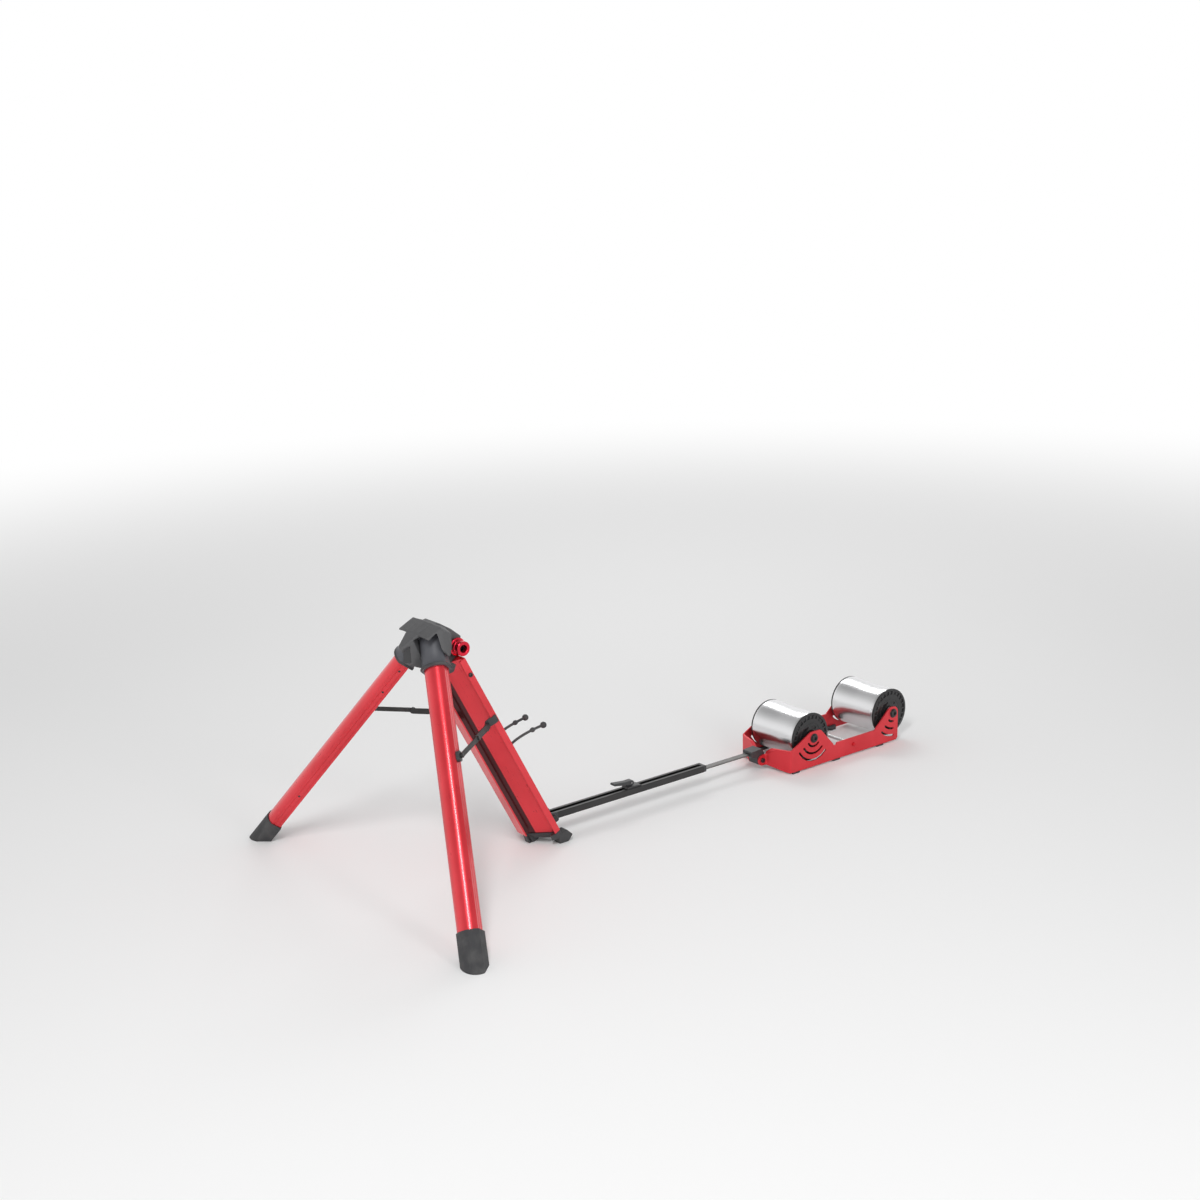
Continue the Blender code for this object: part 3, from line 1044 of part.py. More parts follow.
def stand_on_origin(root):
    """Move the whole part so that its box is centred over the origin."""
    bpy.context.view_layer.update()
    graph = bpy.context.evaluated_depsgraph_get()
    xs = []
    for made in bpy.data.objects:
        if made.type == "MESH" and not made.hide_render:
            shape = made.evaluated_get(graph)
            xs += [(shape.matrix_world @ v.co).x for v in shape.data.vertices]
    root.location.x -= (min(xs) + max(xs)) / 2
    bpy.context.view_layer.update()


def main():
    for old in list(bpy.data.objects):
        bpy.data.objects.remove(old, do_unlink=True)
    root = joint_empty("trainer", (0, 0, 0))
    build_rear_leg(root)
    build_rear_foot(root)
    build_head(root)
    build_fork_mount(root)
    build_rail_bracket(root)
    for name, side in SIDES:
        leg = LEGS[name]
        points = brace_points(leg)
        leg_body = joint_empty(f"{name}_leg_fold", leg.pivot, root)
        front_body = joint_empty(f"{name}_front_link_turn", points["knuckle"], leg_body)
        rear_body = joint_empty(f"{name}_rear_link_turn", points["lug"], root)
        build_front_leg(name, leg, leg_body)
        build_hood(name, leg, leg_body)
        build_braces(name, leg, root, leg_body, front_body, rear_body)
        build_strap(name, side, root)
    rail_body = joint_empty("rail_fold", (RAIL_PIVOT_X, 0, RAIL_PIVOT_Z), root)
    build_rail(rail_body)
    lever_body = joint_empty("clamp_lever_turn", (CLAMP_X, 0, CAM_Z), rail_body)
    build_clamp(rail_body, lever_body)
    bar_body = joint_empty("bar_slide", (BAR_START, 0, RAIL_BOTTOM), rail_body)
    build_bar(bar_body)
    build_clevis(bar_body)
    frame_body = joint_empty("roller_frame_fold", (FRAME_PIVOT_X, 0, FRAME_PIVOT_Z), bar_body)
    for name, side in SIDES:
        build_side_plate(name, side, frame_body)
    build_frame_details(frame_body)
    for label, x in (("front", FRONT_DRUM_X), ("rear", REAR_DRUM_X)):
        drum_body = joint_empty(f"{label}_drum_spin", (x, 0, DRUM_Z), frame_body)
        build_drum(label, x, drum_body, frame_body)
    stand_on_origin(root)


main()
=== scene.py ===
# %% [markdown]
# # Fork mount roller trainer: the dressed model
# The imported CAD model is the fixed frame. A rigid solid whose shape is right stays, and gets a
# procedural finish. The cast head, the leg tubes and hoods, the drums and their caps, the axle
# adapters and the tie straps are rebuilt with more detail, and each stands where its solid is.

from math import acos, asin, cos, degrees, pi, radians, sin

import bmesh
import bpy
from mathutils import Matrix, Vector


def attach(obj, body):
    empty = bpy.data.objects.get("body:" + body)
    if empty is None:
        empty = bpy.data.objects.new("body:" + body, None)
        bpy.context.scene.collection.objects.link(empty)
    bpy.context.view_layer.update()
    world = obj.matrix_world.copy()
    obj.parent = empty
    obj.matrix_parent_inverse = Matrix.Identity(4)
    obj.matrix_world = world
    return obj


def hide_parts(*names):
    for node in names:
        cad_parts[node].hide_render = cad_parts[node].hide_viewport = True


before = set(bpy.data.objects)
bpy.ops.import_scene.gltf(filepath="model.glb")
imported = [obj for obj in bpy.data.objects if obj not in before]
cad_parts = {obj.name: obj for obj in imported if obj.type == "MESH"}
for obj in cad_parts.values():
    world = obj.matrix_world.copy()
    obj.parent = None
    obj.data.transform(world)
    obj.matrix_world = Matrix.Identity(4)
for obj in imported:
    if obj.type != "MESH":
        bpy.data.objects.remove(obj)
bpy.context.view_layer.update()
MM = 0.001
SIDES = (("left", -1), ("right", 1))
GAP = 0.3 * MM
X, Y, Z = Vector((1, 0, 0)), Vector((0, 1, 0)), Vector((0, 0, 1))
# Places are given from the axle bore in the head, and this moves them into the frame, whose
# origin is under the middle of the part's box
SHIFT = Vector((-0.465791, 0, 0))
print("packed nodes:", len(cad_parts))

# %% [markdown]
# ## Camera
# The camera stands where the photograph's did: its place, turn and focal length were worked
# out from points in the picture. A camera looks along its own minus Z, so its matrix is
# written straight from the three directions instead of from angles.

# %% Camera
FRAME_PX, FOCAL_PX, SENSOR_MM = 1200, 1783.79, 36
YAW, PITCH, ROLL = radians(37.71), radians(15.06), -0.0269
EYE = Vector((-1.72509, -2.69473, 1.37675)) + SHIFT


def axes(origin, u, v, w):
    """The matrix of a local frame with these unit vectors as its columns."""
    return Matrix.Translation(origin) @ Matrix((u, v, w)).transposed().to_4x4()


def make_camera():
    ahead = Vector((sin(YAW) * cos(PITCH), cos(YAW) * cos(PITCH), -sin(PITCH)))
    level = Vector((cos(YAW), -sin(YAW), 0))
    upright = level.cross(ahead)
    right = cos(ROLL) * level + sin(ROLL) * upright
    up = cos(ROLL) * upright - sin(ROLL) * level
    data = bpy.data.cameras.new("camera")
    data.sensor_width = SENSOR_MM
    data.lens = FOCAL_PX / FRAME_PX * SENSOR_MM
    data.clip_end = 50
    camera = bpy.data.objects.new("camera", data)
    bpy.context.scene.collection.objects.link(camera)
    camera.matrix_world = axes(EYE, right, up, -ahead)
    bpy.context.scene.camera = camera
    print(f"lens: {data.lens:.1f} mm")


make_camera()

# %% [markdown]
# ## Floor, backdrop and lamps
# The photograph shows the trainer on white, with only a soft shadow. A white floor would never
# be evenly white under lamps, so the floor is pale where the part stands and goes over into a
# plain glow of strength 1 far from it. The world is white at the horizon and greyer overhead,
# because polished metal shows what is round it and looks flat in an even white room.
#
# Every shader node in this file comes from `add_node`: its type, its settings, which decide
# what sockets it has, and then the value or the link of each socket.

# %% One way to make a shader node
def add_node(tree, kind, settings=(), sockets=()):
    node = tree.nodes.new("ShaderNode" + kind)
    for setting, value in dict(settings).items():
        setattr(node, setting, value)
    for socket, value in dict(sockets).items():
        value = getattr(value, "socket", value)
        if isinstance(value, bpy.types.NodeSocket):
            tree.links.new(value, node.inputs[socket])
        else:
            node.inputs[socket].default_value = value
    return node


SMOOTH = {"interpolation_type": "SMOOTHSTEP"}


# %% Floor
def make_floor():
    bm = bmesh.new()
    bmesh.ops.create_grid(bm, x_segments=1, y_segments=1, size=30)
    mesh = bpy.data.meshes.new("floor")
    bm.to_mesh(mesh)
    bm.free()
    floor = bpy.data.objects.new("floor", mesh)
    bpy.context.scene.collection.objects.link(floor)
    pale = bpy.data.materials.new("floor")
    pale.use_nodes = True
    tree = pale.node_tree
    shader = tree.nodes["Principled BSDF"]
    shader.inputs["Base Color"].default_value = (0.9, 0.9, 0.9, 1)
    shader.inputs["Roughness"].default_value = 0.8
    shader.inputs["Specular IOR Level"].default_value = 0.1
    place = add_node(tree, "TexCoord").outputs["Object"]
    far = add_node(tree, "VectorMath", {"operation": "LENGTH"}, {0: place}).outputs["Value"]
    share = add_node(tree, "MapRange", SMOOTH, {"Value": far, "From Min": 1.6, "From Max": 5.0})
    glow = add_node(tree, "Emission").outputs["Emission"]
    mixed = add_node(tree, "MixShader", (), {"Fac": share.outputs["Result"],
                                             1: shader.outputs["BSDF"], 2: glow})
    tree.links.new(mixed.outputs["Shader"], tree.nodes["Material Output"].inputs["Surface"])
    mesh.materials.append(pale)


make_floor()


# %% Backdrop and lamps
def make_backdrop():
    world = bpy.data.worlds.new("world")
    bpy.context.scene.world = world
    world.use_nodes = True
    tree = world.node_tree
    sky = tree.nodes["Background"]
    sky.inputs["Color"].default_value = (1, 1, 1, 1)
    place = add_node(tree, "TexCoord").outputs["Generated"]
    height = add_node(tree, "SeparateXYZ", (), {"Vector": place}).outputs["Z"]
    fade = add_node(tree, "MapRange", SMOOTH, {"Value": height, "From Min": 0.2, "From Max": 0.9,
                                               "To Min": 1.0, "To Max": 0.32})
    tree.links.new(fade.outputs["Result"], sky.inputs["Strength"])


def make_lamp(name, place, target, size, power):
    data = bpy.data.lights.new(name, "AREA")
    data.shape = "RECTANGLE"
    data.size, data.size_y = size
    data.energy = power
    lamp = bpy.data.objects.new(name, data)
    bpy.context.scene.collection.objects.link(lamp)
    lamp.location = place
    lamp.rotation_euler = (Vector(target) - Vector(place)).to_track_quat("-Z", "Y").to_euler()
    print(f"lamp {name}: {power} W")


make_backdrop()
make_lamp("key", (-2.0, -1.7, 2.9), (-0.3, 0, 0.2), (0.5, 1.3), 46)
make_lamp("strip", (-0.2, -3.2, 1.3), (-0.2, 0, 0.2), (0.3, 1.6), 14)
make_lamp("back", (1.6, 1.8, 2.2), (0, 0, 0.2), (1.6, 0.6), 16)
bpy.context.scene.view_settings.view_transform = "Standard"

# %% [markdown]
# ## A small language for finishes
# A `Field` is a number that varies over a surface, and fields are added and multiplied like
# numbers. Each starts from the piece's own Object coordinates, in metres, so a grain keeps its
# real size whatever the piece, and stays put on it when a joint moves. A `Finish` is one
# material: it makes the fields and hands them to the shader's colour, roughness and bump.

# %% Field
class Field:
    def __init__(self, tree, socket):
        self.tree = tree
        self.socket = socket

    def math(self, operation, *others):
        node = add_node(self.tree, "Math", {"operation": operation}, enumerate((self, *others)))
        return Field(self.tree, node.outputs[0])

    def __add__(self, other):
        return self.math("ADD", other)

    def __sub__(self, other):
        return self.math("SUBTRACT", other)

    def __rsub__(self, other):
        return self * -1 + other

    def __mul__(self, other):
        return self.math("MULTIPLY", other)

    __radd__ = __add__
    __rmul__ = __mul__

    def between(self, low, high):
        """0 at low, 1 at high, and smooth between them; low may be the larger number."""
        node = add_node(self.tree, "MapRange", SMOOTH,
                        {"Value": self, "From Min": low, "From Max": high})
        return Field(self.tree, node.outputs["Result"])


# %% Finish
class Finish:
    def __init__(self, name, colour, roughness, metallic=0.0, coat=0.0):
        self.made = bpy.data.materials.new(name)
        self.made.use_nodes = True
        self.made.diffuse_color = (*colour, 1)
        self.tree = self.made.node_tree
        self.shader = self.tree.nodes["Principled BSDF"]
        self.shader.inputs["Base Color"].default_value = (*colour, 1)
        self.shader.inputs["Roughness"].default_value = roughness
        self.shader.inputs["Metallic"].default_value = metallic
        self.shader.inputs["Coat Weight"].default_value = coat
        self.shader.inputs["Coat Roughness"].default_value = 0.12
        self.place = self.node("TexCoord").outputs["Object"]

    def node(self, kind, settings=(), sockets=()):
        return add_node(self.tree, kind, settings, sockets)

    def along(self, direction):
        """How far each point is along this direction."""
        node = self.node("VectorMath", {"operation": "DOT_PRODUCT"},
                         {0: self.place, 1: tuple(direction)})
        return Field(self.tree, node.outputs["Value"])

    def drawn(self, direction, share):
        """Coordinates squeezed along one direction, so that a pattern is drawn out along it."""
        way = tuple(Vector(direction) * (1 - share))
        lost = self.node("VectorMath", {"operation": "SCALE"},
                         {0: way, "Scale": self.along(direction)})
        left = self.node("VectorMath", {"operation": "SUBTRACT"},
                         {0: self.place, 1: lost.outputs["Vector"]})
        return left.outputs["Vector"]

    def noise(self, scale, detail=3.0, where=None):
        node = self.node("TexNoise", (), {"Scale": scale, "Detail": detail,
                                          "Vector": where or self.place})
        return Field(self.tree, node.outputs["Fac"])

    def grains(self, scale):
        node = self.node("TexVoronoi", (), {"Scale": scale, "Vector": self.place})
        return Field(self.tree, node.outputs["Distance"])

    def colours(self, share, first, second):
        """From the first colour to the second as the field goes from 0 to 1."""
        ends = [(*end, 1) if isinstance(end, tuple) else end for end in (first, second)]
        mix = self.node("Mix", {"data_type": "RGBA", "clamp_factor": True},
                        {0: share, 6: ends[0], 7: ends[1]})
        self.tree.links.new(mix.outputs[2], self.shader.inputs["Base Color"])
        return self

    def over(self, share, colour):
        """Where the field is 1, this colour takes the place of what the surface has so far."""
        before = self.shader.inputs["Base Color"].links[0].from_socket
        return self.colours(share, before, colour)

    def roughness(self, field):
        self.tree.links.new(field.socket, self.shader.inputs["Roughness"])
        return self

    def bump(self, height, depth, strength=1.0):
        node = self.node("Bump", (), {"Height": height, "Distance": depth, "Strength": strength})
        self.tree.links.new(node.outputs["Normal"], self.shader.inputs["Normal"])
        return self


# %% [markdown]
# ## Red anodised aluminium
# Anodising dyes the metal's own skin, so the red is half metallic, and every mark of how the
# piece was made still shows through: lines of the die along an extrusion, tool marks on a
# turned cup, the rolled grain of sheet. One noise does all three, drawn out along one direction.

# %% Red finishes
def anodised_extrusion(name, direction):
    finish = Finish(name, (0.66, 0.028, 0.04), 0.3, 0.6, 0.5)
    lines = finish.noise(900, 4, finish.drawn(direction, 0.004))
    cloud = finish.noise(9, 3)
    handled = finish.noise(60, 5)
    finish.colours(cloud.between(0.3, 0.7), (0.66, 0.026, 0.038), (0.76, 0.038, 0.054))
    finish.roughness(lines * 0.12 + handled * 0.08 + 0.2)
    return finish.bump(lines, 0.04 * MM)


def channel_extrusion(name, up, front, front_offset):
    """The same red, with painted shade: nearly black in the two deep grooves beside the crest,
    where shade falls.
    """
    finish = anodised_extrusion(name, up)
    off_centre = finish.along(Y).math("ABSOLUTE")
    depth = finish.along(front) - front_offset
    # Painted shade: a nearly black colour where shade falls in the undercut beside the crest, on
    # both sides.
    beside = off_centre.between(15.5 * MM, 14.5 * MM)
    painted_groove_shade = beside * depth.between(20 * MM, 21 * MM) * depth.between(52.2 * MM, 52 * MM)
    return finish.over(painted_groove_shade, (0.06, 0.0015, 0.004)).made


def anodised_turned(name):
    """Fine lines along X, which pass for tool marks on a small cup."""
    finish = Finish(name, (0.66, 0.012, 0.035), 0.22, 0.85, 0.2)
    rings = finish.noise(2600, 2, finish.drawn(X, 0.01))
    finish.colours(rings, (0.6, 0.01, 0.03), (0.72, 0.02, 0.05))
    return finish.bump(rings, 0.03 * MM).made


def red_sheet():
    finish = Finish("red_sheet", (0.68, 0.028, 0.04), 0.36, 0.45, 0.2)
    grain = finish.noise(700, 4, finish.drawn(X, 0.01))
    cloud = finish.noise(14, 3)
    finish.colours(cloud.between(0.25, 0.75), (0.64, 0.024, 0.036), (0.72, 0.034, 0.048))
    finish.roughness(grain * 0.1 + cloud * 0.08 + 0.28)
    return finish.bump(grain, 0.03 * MM).made


# %% [markdown]
# ## Black castings, plastic and rubber
# The black parts differ by their grain more than by their colour. Powder coating on the
# casting has a coarse, deep grain, moulded plastic the fine one that is sparked into its
# mould, and rubber is dull and gathers dust. A slow noise keeps each from one flat tone.

# %% Black finishes
def cast_coating(name, dark, light):
    finish = Finish(name, dark, 0.62)
    grain = finish.grains(1500)
    fine = finish.noise(2600, 3)
    cloud = finish.noise(28, 4)
    finish.colours(fine * 0.55 + cloud * 0.45, dark, light)
    finish.roughness(fine * 0.2 + cloud * 0.1 + 0.48)
    return finish.bump(grain * 0.7 + fine * 0.6, 0.22 * MM, 0.8).made


def moulded(name, colour, roughness, grain_depth=0.04 * MM):
    finish = Finish(name, colour, roughness)
    grain = finish.noise(3200, 2)
    cloud = finish.noise(35, 3)
    finish.colours(cloud, colour, tuple(min(1, part * 1.25 + 0.004) for part in colour))
    finish.roughness(grain * 0.1 + cloud * 0.12 + (roughness - 0.11))
    return finish.bump(grain, grain_depth).made


def rubber():
    finish = Finish("black_rubber", (0.045, 0.045, 0.048), 0.75)
    fine = finish.noise(1900, 4)
    dust = finish.noise(45, 5)
    finish.colours(dust.between(0.35, 0.8), (0.036, 0.036, 0.039), (0.075, 0.074, 0.074))
    finish.roughness(dust * 0.15 + 0.66)
    return finish.bump(fine, 0.1 * MM).made


def black_anodised():
    finish = Finish("black_anodised", (0.05, 0.05, 0.052), 0.32, 0.75, 0.05)
    lines = finish.noise(1100, 4, finish.drawn(X, 0.004))
    cloud = finish.noise(20, 3)
    finish.colours(cloud, (0.035, 0.035, 0.037), (0.07, 0.067, 0.066))
    finish.roughness(lines * 0.14 + cloud * 0.08 + 0.2)
    return finish.bump(lines, 0.05 * MM).made


# %% [markdown]
# ## Bare metal
# Bare metal takes its look from what it reflects, so its marks go into roughness and a very
# shallow bump. On the drums they run round: the noise reads only Y, so it is the same all the
# way round. Deeper marks made the drums look like wound wire.

# %% Metal finishes
def steel(name, colour, direction, roughness=0.34):
    finish = Finish(name, colour, roughness, 1.0)
    lines = finish.noise(1500, 4, finish.drawn(direction, 0.01))
    stains = finish.noise(50, 5)
    finish.colours(stains.between(0.3, 0.85), colour, tuple(part * 0.72 for part in colour))
    finish.roughness(lines * 0.12 + stains * 0.1 + (roughness - 0.1))
    return finish.bump(lines, 0.04 * MM).made


def tie_rod():
    """Bright across the frame, and red on the two screw heads outside the plates."""
    finish = Finish("tie_rod", (0.7, 0.7, 0.7), 0.36, 0.7)
    heads = finish.along(Y).math("ABSOLUTE").between(74.2 * MM, 74.6 * MM)
    grain = finish.noise(1200, 3)
    finish.roughness(grain * 0.12 + 0.3)
    finish.colours(heads, (0.62, 0.62, 0.62), (0.66, 0.03, 0.042))
    return finish.bump(grain, 0.03 * MM).made


def turned_aluminium():
    finish = Finish("turned_aluminium", (0.80, 0.80, 0.81), 0.24, 1.0)
    only_y = finish.node("VectorMath", {"operation": "MULTIPLY"},
                         {0: finish.place, 1: (0.0, 1.0, 0.0)}).outputs["Vector"]
    tool = (finish.along(Y) * 5200).math("SINE")
    uneven = finish.noise(420, 5, only_y)
    broad = finish.noise(60, 3, only_y)
    finish.colours(uneven * 0.6 + broad * 0.4, (0.74, 0.74, 0.75), (0.80, 0.80, 0.81))
    finish.roughness(uneven * 0.04 + broad * 0.06 + 0.2)
    return finish.bump(tool * 0.35 + uneven, 0.003 * MM, 0.3).made


# %% [markdown]
# ## Shop tools
# Nearly every piece here is a section extruded, a profile turned, rings bridged, or a convex
# block between corners, so four makers do most of the work. Each returns a bmesh, a mesh in
# memory that costs nothing until it is kept. U, V and W are the axes of a piece's own frame.

# %% Section, loft, turning and block
def arc(centre, radius, start, end, steps):
    """Points along an arc, from one angle to another in degrees."""
    turns = [radians(start + (end - start) * i / steps) for i in range(steps + 1)]
    return [(centre[0] + radius * cos(a), centre[1] + radius * sin(a)) for a in turns]


def loft(sections, flat_ends=True):
    """Sections of equal length, bridged in order.

    Each pair has rings of its own, merged at the end, because a bridge from a ring that
    already has faces came out twisted.
    """
    bm = bmesh.new()
    rings = []
    for pair in zip(sections, sections[1:]):
        rings += [[bm.verts.new(p) for p in section] for section in pair]
        edges = [bm.edges.new(ends) for ring in rings[-2:]
                 for ends in zip(ring, ring[1:] + ring[:1])]
        bmesh.ops.bridge_loops(bm, edges=edges)
    if flat_ends:
        bm.faces.new(rings[0])
        bm.faces.new(rings[-1])
    bmesh.ops.remove_doubles(bm, verts=bm.verts, dist=1e-6)
    bmesh.ops.recalc_face_normals(bm, faces=bm.faces)
    return bm


def extruded(outline, low, high):
    """An outline in U and V, drawn along W from low to high."""
    bm = bmesh.new()
    section = bm.faces.new([bm.verts.new((u, v, low)) for u, v in outline])
    drawn = bmesh.ops.extrude_face_region(bm, geom=[section])["geom"]
    corners = [part for part in drawn if isinstance(part, bmesh.types.BMVert)]
    bmesh.ops.translate(bm, verts=corners, vec=(0, 0, high - low))
    bmesh.ops.recalc_face_normals(bm, faces=bm.faces)
    return bm


def turned(profile, steps=96):
    """A (radius, height) profile spun about W."""
    bm = bmesh.new()
    points = [bm.verts.new((r, 0, z)) for r, z in profile]
    edges = [bm.edges.new(pair) for pair in zip(points, points[1:])]
    if profile[0][0] or profile[-1][0]:
        edges.append(bm.edges.new((points[-1], points[0])))
    bmesh.ops.spin(bm, geom=points + edges, axis=(0, 0, 1), cent=(0, 0, 0), angle=2 * pi,
                   steps=steps, use_merge=True)
    bmesh.ops.remove_doubles(bm, verts=bm.verts, dist=1e-6)
    bmesh.ops.recalc_face_normals(bm, faces=bm.faces)
    return bm


def hull(points):
    """The convex block between these corners."""
    bm = bmesh.new()
    made = bmesh.ops.convex_hull(bm, input=[bm.verts.new(p) for p in points])
    inside = made["geom_interior"] + made["geom_unused"]
    spare = list({part for part in inside if isinstance(part, bmesh.types.BMVert)})
    bmesh.ops.delete(bm, geom=spare, context="VERTS")
    bmesh.ops.recalc_face_normals(bm, faces=bm.faces)
    return bm


# %% [markdown]
# ## Joining, cutting and rounding
# Boolean modifiers join and cut whole solids at once. A mould or a casting has no sharp edge,
# and a bevel fails where cuts cross, so such a piece is remeshed on a fine grid and relaxed
# instead, which rounds every edge alike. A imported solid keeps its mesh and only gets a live
# bevel.

# %% Joining, cutting and rounding
def moved(bm, matrix):
    bmesh.ops.transform(bm, matrix=matrix, verts=bm.verts)
    if matrix.determinant() < 0:
        bmesh.ops.reverse_faces(bm, faces=bm.faces)
    return bm


def added(*shapes):
    whole = shapes[0]
    for shape in shapes[1:]:
        mesh = bpy.data.meshes.new("part")
        shape.to_mesh(mesh)
        shape.free()
        whole.from_mesh(mesh)
        bpy.data.meshes.remove(mesh)
    return whole


def plain_object(name, bm):
    mesh = bpy.data.meshes.new(name)
    bm.to_mesh(mesh)
    bm.free()
    made = bpy.data.objects.new(name, mesh)
    bpy.context.scene.collection.objects.link(made)
    return made


def settle(made):
    """Replace an object's mesh by what its modifiers make of it."""
    graph = bpy.context.evaluated_depsgraph_get()
    mesh = bpy.data.meshes.new_from_object(made.evaluated_get(graph))
    old = made.data
    made.modifiers.clear()
    made.data = mesh
    bpy.data.meshes.remove(old)


def change(made, steps):
    """Join and cut an object by other shapes, in order, then drop those shapes."""
    helpers = []
    for operation, bm in steps:
        helper = plain_object("helper", bm)
        helpers.append(helper)
        cut = made.modifiers.new("change", "BOOLEAN")
        cut.operation = operation
        cut.object = helper
        cut.solver = "MANIFOLD"
    settle(made)
    for helper in helpers:
        bpy.data.objects.remove(helper, do_unlink=True)


def smoothed(made, voxel, rounds):
    grid = made.modifiers.new("grid", "REMESH")
    grid.mode = "VOXEL"
    grid.voxel_size = voxel
    soft = made.modifiers.new("soft", "SMOOTH")
    soft.factor = 0.5
    soft.iterations = rounds
    settle(made)


def taken(made):
    """The mesh of a helper object, which is then gone."""
    shape = bmesh.new()
    shape.from_mesh(made.data)
    bpy.data.objects.remove(made, do_unlink=True)
    return shape


def bevelled(made, width):
    """Weld first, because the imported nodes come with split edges."""
    weld = made.modifiers.new("weld", "WELD")
    weld.merge_threshold = 1e-6
    edge = made.modifiers.new("edges", "BEVEL")
    edge.width = width
    edge.segments = 2
    edge.limit_method = "ANGLE"
    edge.angle_limit = radians(30)
    edge.harden_normals = True


def piece(name, bm, finish, body, replaces=(), sharp=35):
    """A finished piece: its material, its smooth and sharp edges, and the body it rides on."""
    made = plain_object(name, bm)
    made.data.materials.append(finish)
    made.data.shade_smooth()
    made.data.set_sharp_from_angle(angle=radians(sharp))
    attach(made, body)
    if replaces:
        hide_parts(*replaces)
    print(f"{name}: {len(made.data.polygons)} faces on {body}")
    return made


# %% [markdown]
# ## The tripod's own frames
# Nothing on the tripod is level or upright, so each leg is drawn in a frame of its own. The
# rear leg leans back. A front leg has U along its hinge, V out of its round front and W up the
# leg, with the flat back at V = 0. Its hinge is at right angles to both the rear leg and the
# open leg, which is the one axis that folds the leg flat along the rear leg.

# %% Tripod frames
LEAN = radians(27.2)
REAR_FRONT = Vector((-cos(LEAN), 0, -sin(LEAN)))
REAR_UP = Vector((-sin(LEAN), 0, cos(LEAN)))
REAR = axes(Vector((220.6 * MM, 0, 0)) + SHIFT, Y, REAR_FRONT, REAR_UP)
HINGE_SIDE, HINGE_DEPTH, HINGE_HEIGHT = 34.8 * MM, 44 * MM, 520.5 * MM   # in the rear leg's frame
FOOT_X, FOOT_SIDE = -227.5 * MM, 382 * MM                                # on the floor
LEG_WIDTH = 40 * MM
LEG_SIDE_DEPTH = 21 * MM
LEG_DEPTH = 31 * MM
PIN_DEPTH = LEG_DEPTH / 2


class LegFrame:
    def __init__(self, side):
        self.side = side
        self.pivot = REAR @ Vector((side * HINGE_SIDE, HINGE_DEPTH, HINGE_HEIGHT))
        reach = Vector((FOOT_X, side * FOOT_SIDE, 0)) + SHIFT - self.pivot
        self.length = reach.length
        self.down = reach.normalized()
        self.hinge = (-REAR_UP).cross(self.down).normalized()
        self.front = -self.down.cross(self.hinge)
        self.fold = acos(self.down.dot(-REAR_UP))
        back = self.pivot - self.front * PIN_DEPTH
        self.matrix = axes(back, self.hinge, self.front, -self.down)
        self.pin = axes(self.pivot, self.front, -self.down, self.front.cross(-self.down))

    def turned_by(self, angle):
        turn = Matrix.Rotation(-angle, 4, self.hinge)
        there, back = Matrix.Translation(self.pivot), Matrix.Translation(-self.pivot)
        return there @ turn @ back @ self.matrix


LEGS = {name: LegFrame(side) for name, side in SIDES}
# The hinge pin's frame in the leg's: forward and up across the pin, and along it
PIN_IN_LEG = axes(Vector((0, PIN_DEPTH, 0)), Y, Z, X)
for name, leg in LEGS.items():
    print(f"{name} leg: {leg.length / MM:.1f} mm, folds {degrees(leg.fold):.1f} degrees")

# %% [markdown]
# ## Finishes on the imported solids
# Small rigid parts are right as they are packed: links, lugs, pins, the rail, the bar, the
# side plates. A real edge is never quite sharp, and it is the thin highlight on it that makes
# a small part look solid, so each gets a bevel of a few tenths of a millimetre.

# %% Materials
PLASTIC = moulded("black_plastic", (0.030, 0.030, 0.032), 0.42)
HOOD_PLASTIC = moulded("hood_plastic", (0.068, 0.070, 0.080), 0.44, 0.02 * MM)
GLOSS_PLASTIC = moulded("gloss_plastic", (0.014, 0.014, 0.015), 0.2, 0.01 * MM)
CASTING = cast_coating("black_casting", (0.058, 0.058, 0.061), (0.098, 0.098, 0.101))
RUBBER = rubber()
BLACK_ANODISED = black_anodised()
RED_SHEET = red_sheet()
RED_TURNED = anodised_turned("red_turned")
DARK_LINK = steel("link_steel", (0.07, 0.07, 0.07), Y, 0.46)
BAR_STEEL = steel("bar_steel", (0.20, 0.195, 0.19), X, 0.42)
BRIGHT_STEEL = steel("bright_steel", (0.62, 0.62, 0.62), Y, 0.28)
MACHINED = turned_aluminium()
REAR_RED = channel_extrusion("rear_leg_red", REAR_UP, REAR_FRONT, REAR_FRONT.dot(REAR.translation))
LEG_REDS = {name: anodised_extrusion(f"{name}_leg_red", leg.down).made
            for name, leg in LEGS.items()}

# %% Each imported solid's finish, and the width of its bevel in millimetres
FINISHES = {
    "rear_leg": (REAR_RED, 0.5), "rear_leg_foot": (PLASTIC, 0.6), "rail_bracket": (PLASTIC, 0.5),
    "rail_hinge_pin": (BLACK_ANODISED, 0.3), "outer_rail": (BLACK_ANODISED, 0.4),
    "rail_end_guide": (PLASTIC, 0.5), "clamp_bolt": (BRIGHT_STEEL, 0.2),
    "clamp_saddle": (PLASTIC, 0.5), "clamp_lever": (PLASTIC, 0.8), "inner_bar": (BAR_STEEL, 0.3),
    "bar_clevis": (PLASTIC, 0.8), "clevis_pin": (BLACK_ANODISED, 0.3),
    "frame_tie_rod": (tie_rod(), 0.3), "front_magnet_carrier": (BAR_STEEL, 0.3),
    "rear_magnet_carrier": (BAR_STEEL, 0.3), "axle_tube": (BAR_STEEL, 0.2),
}
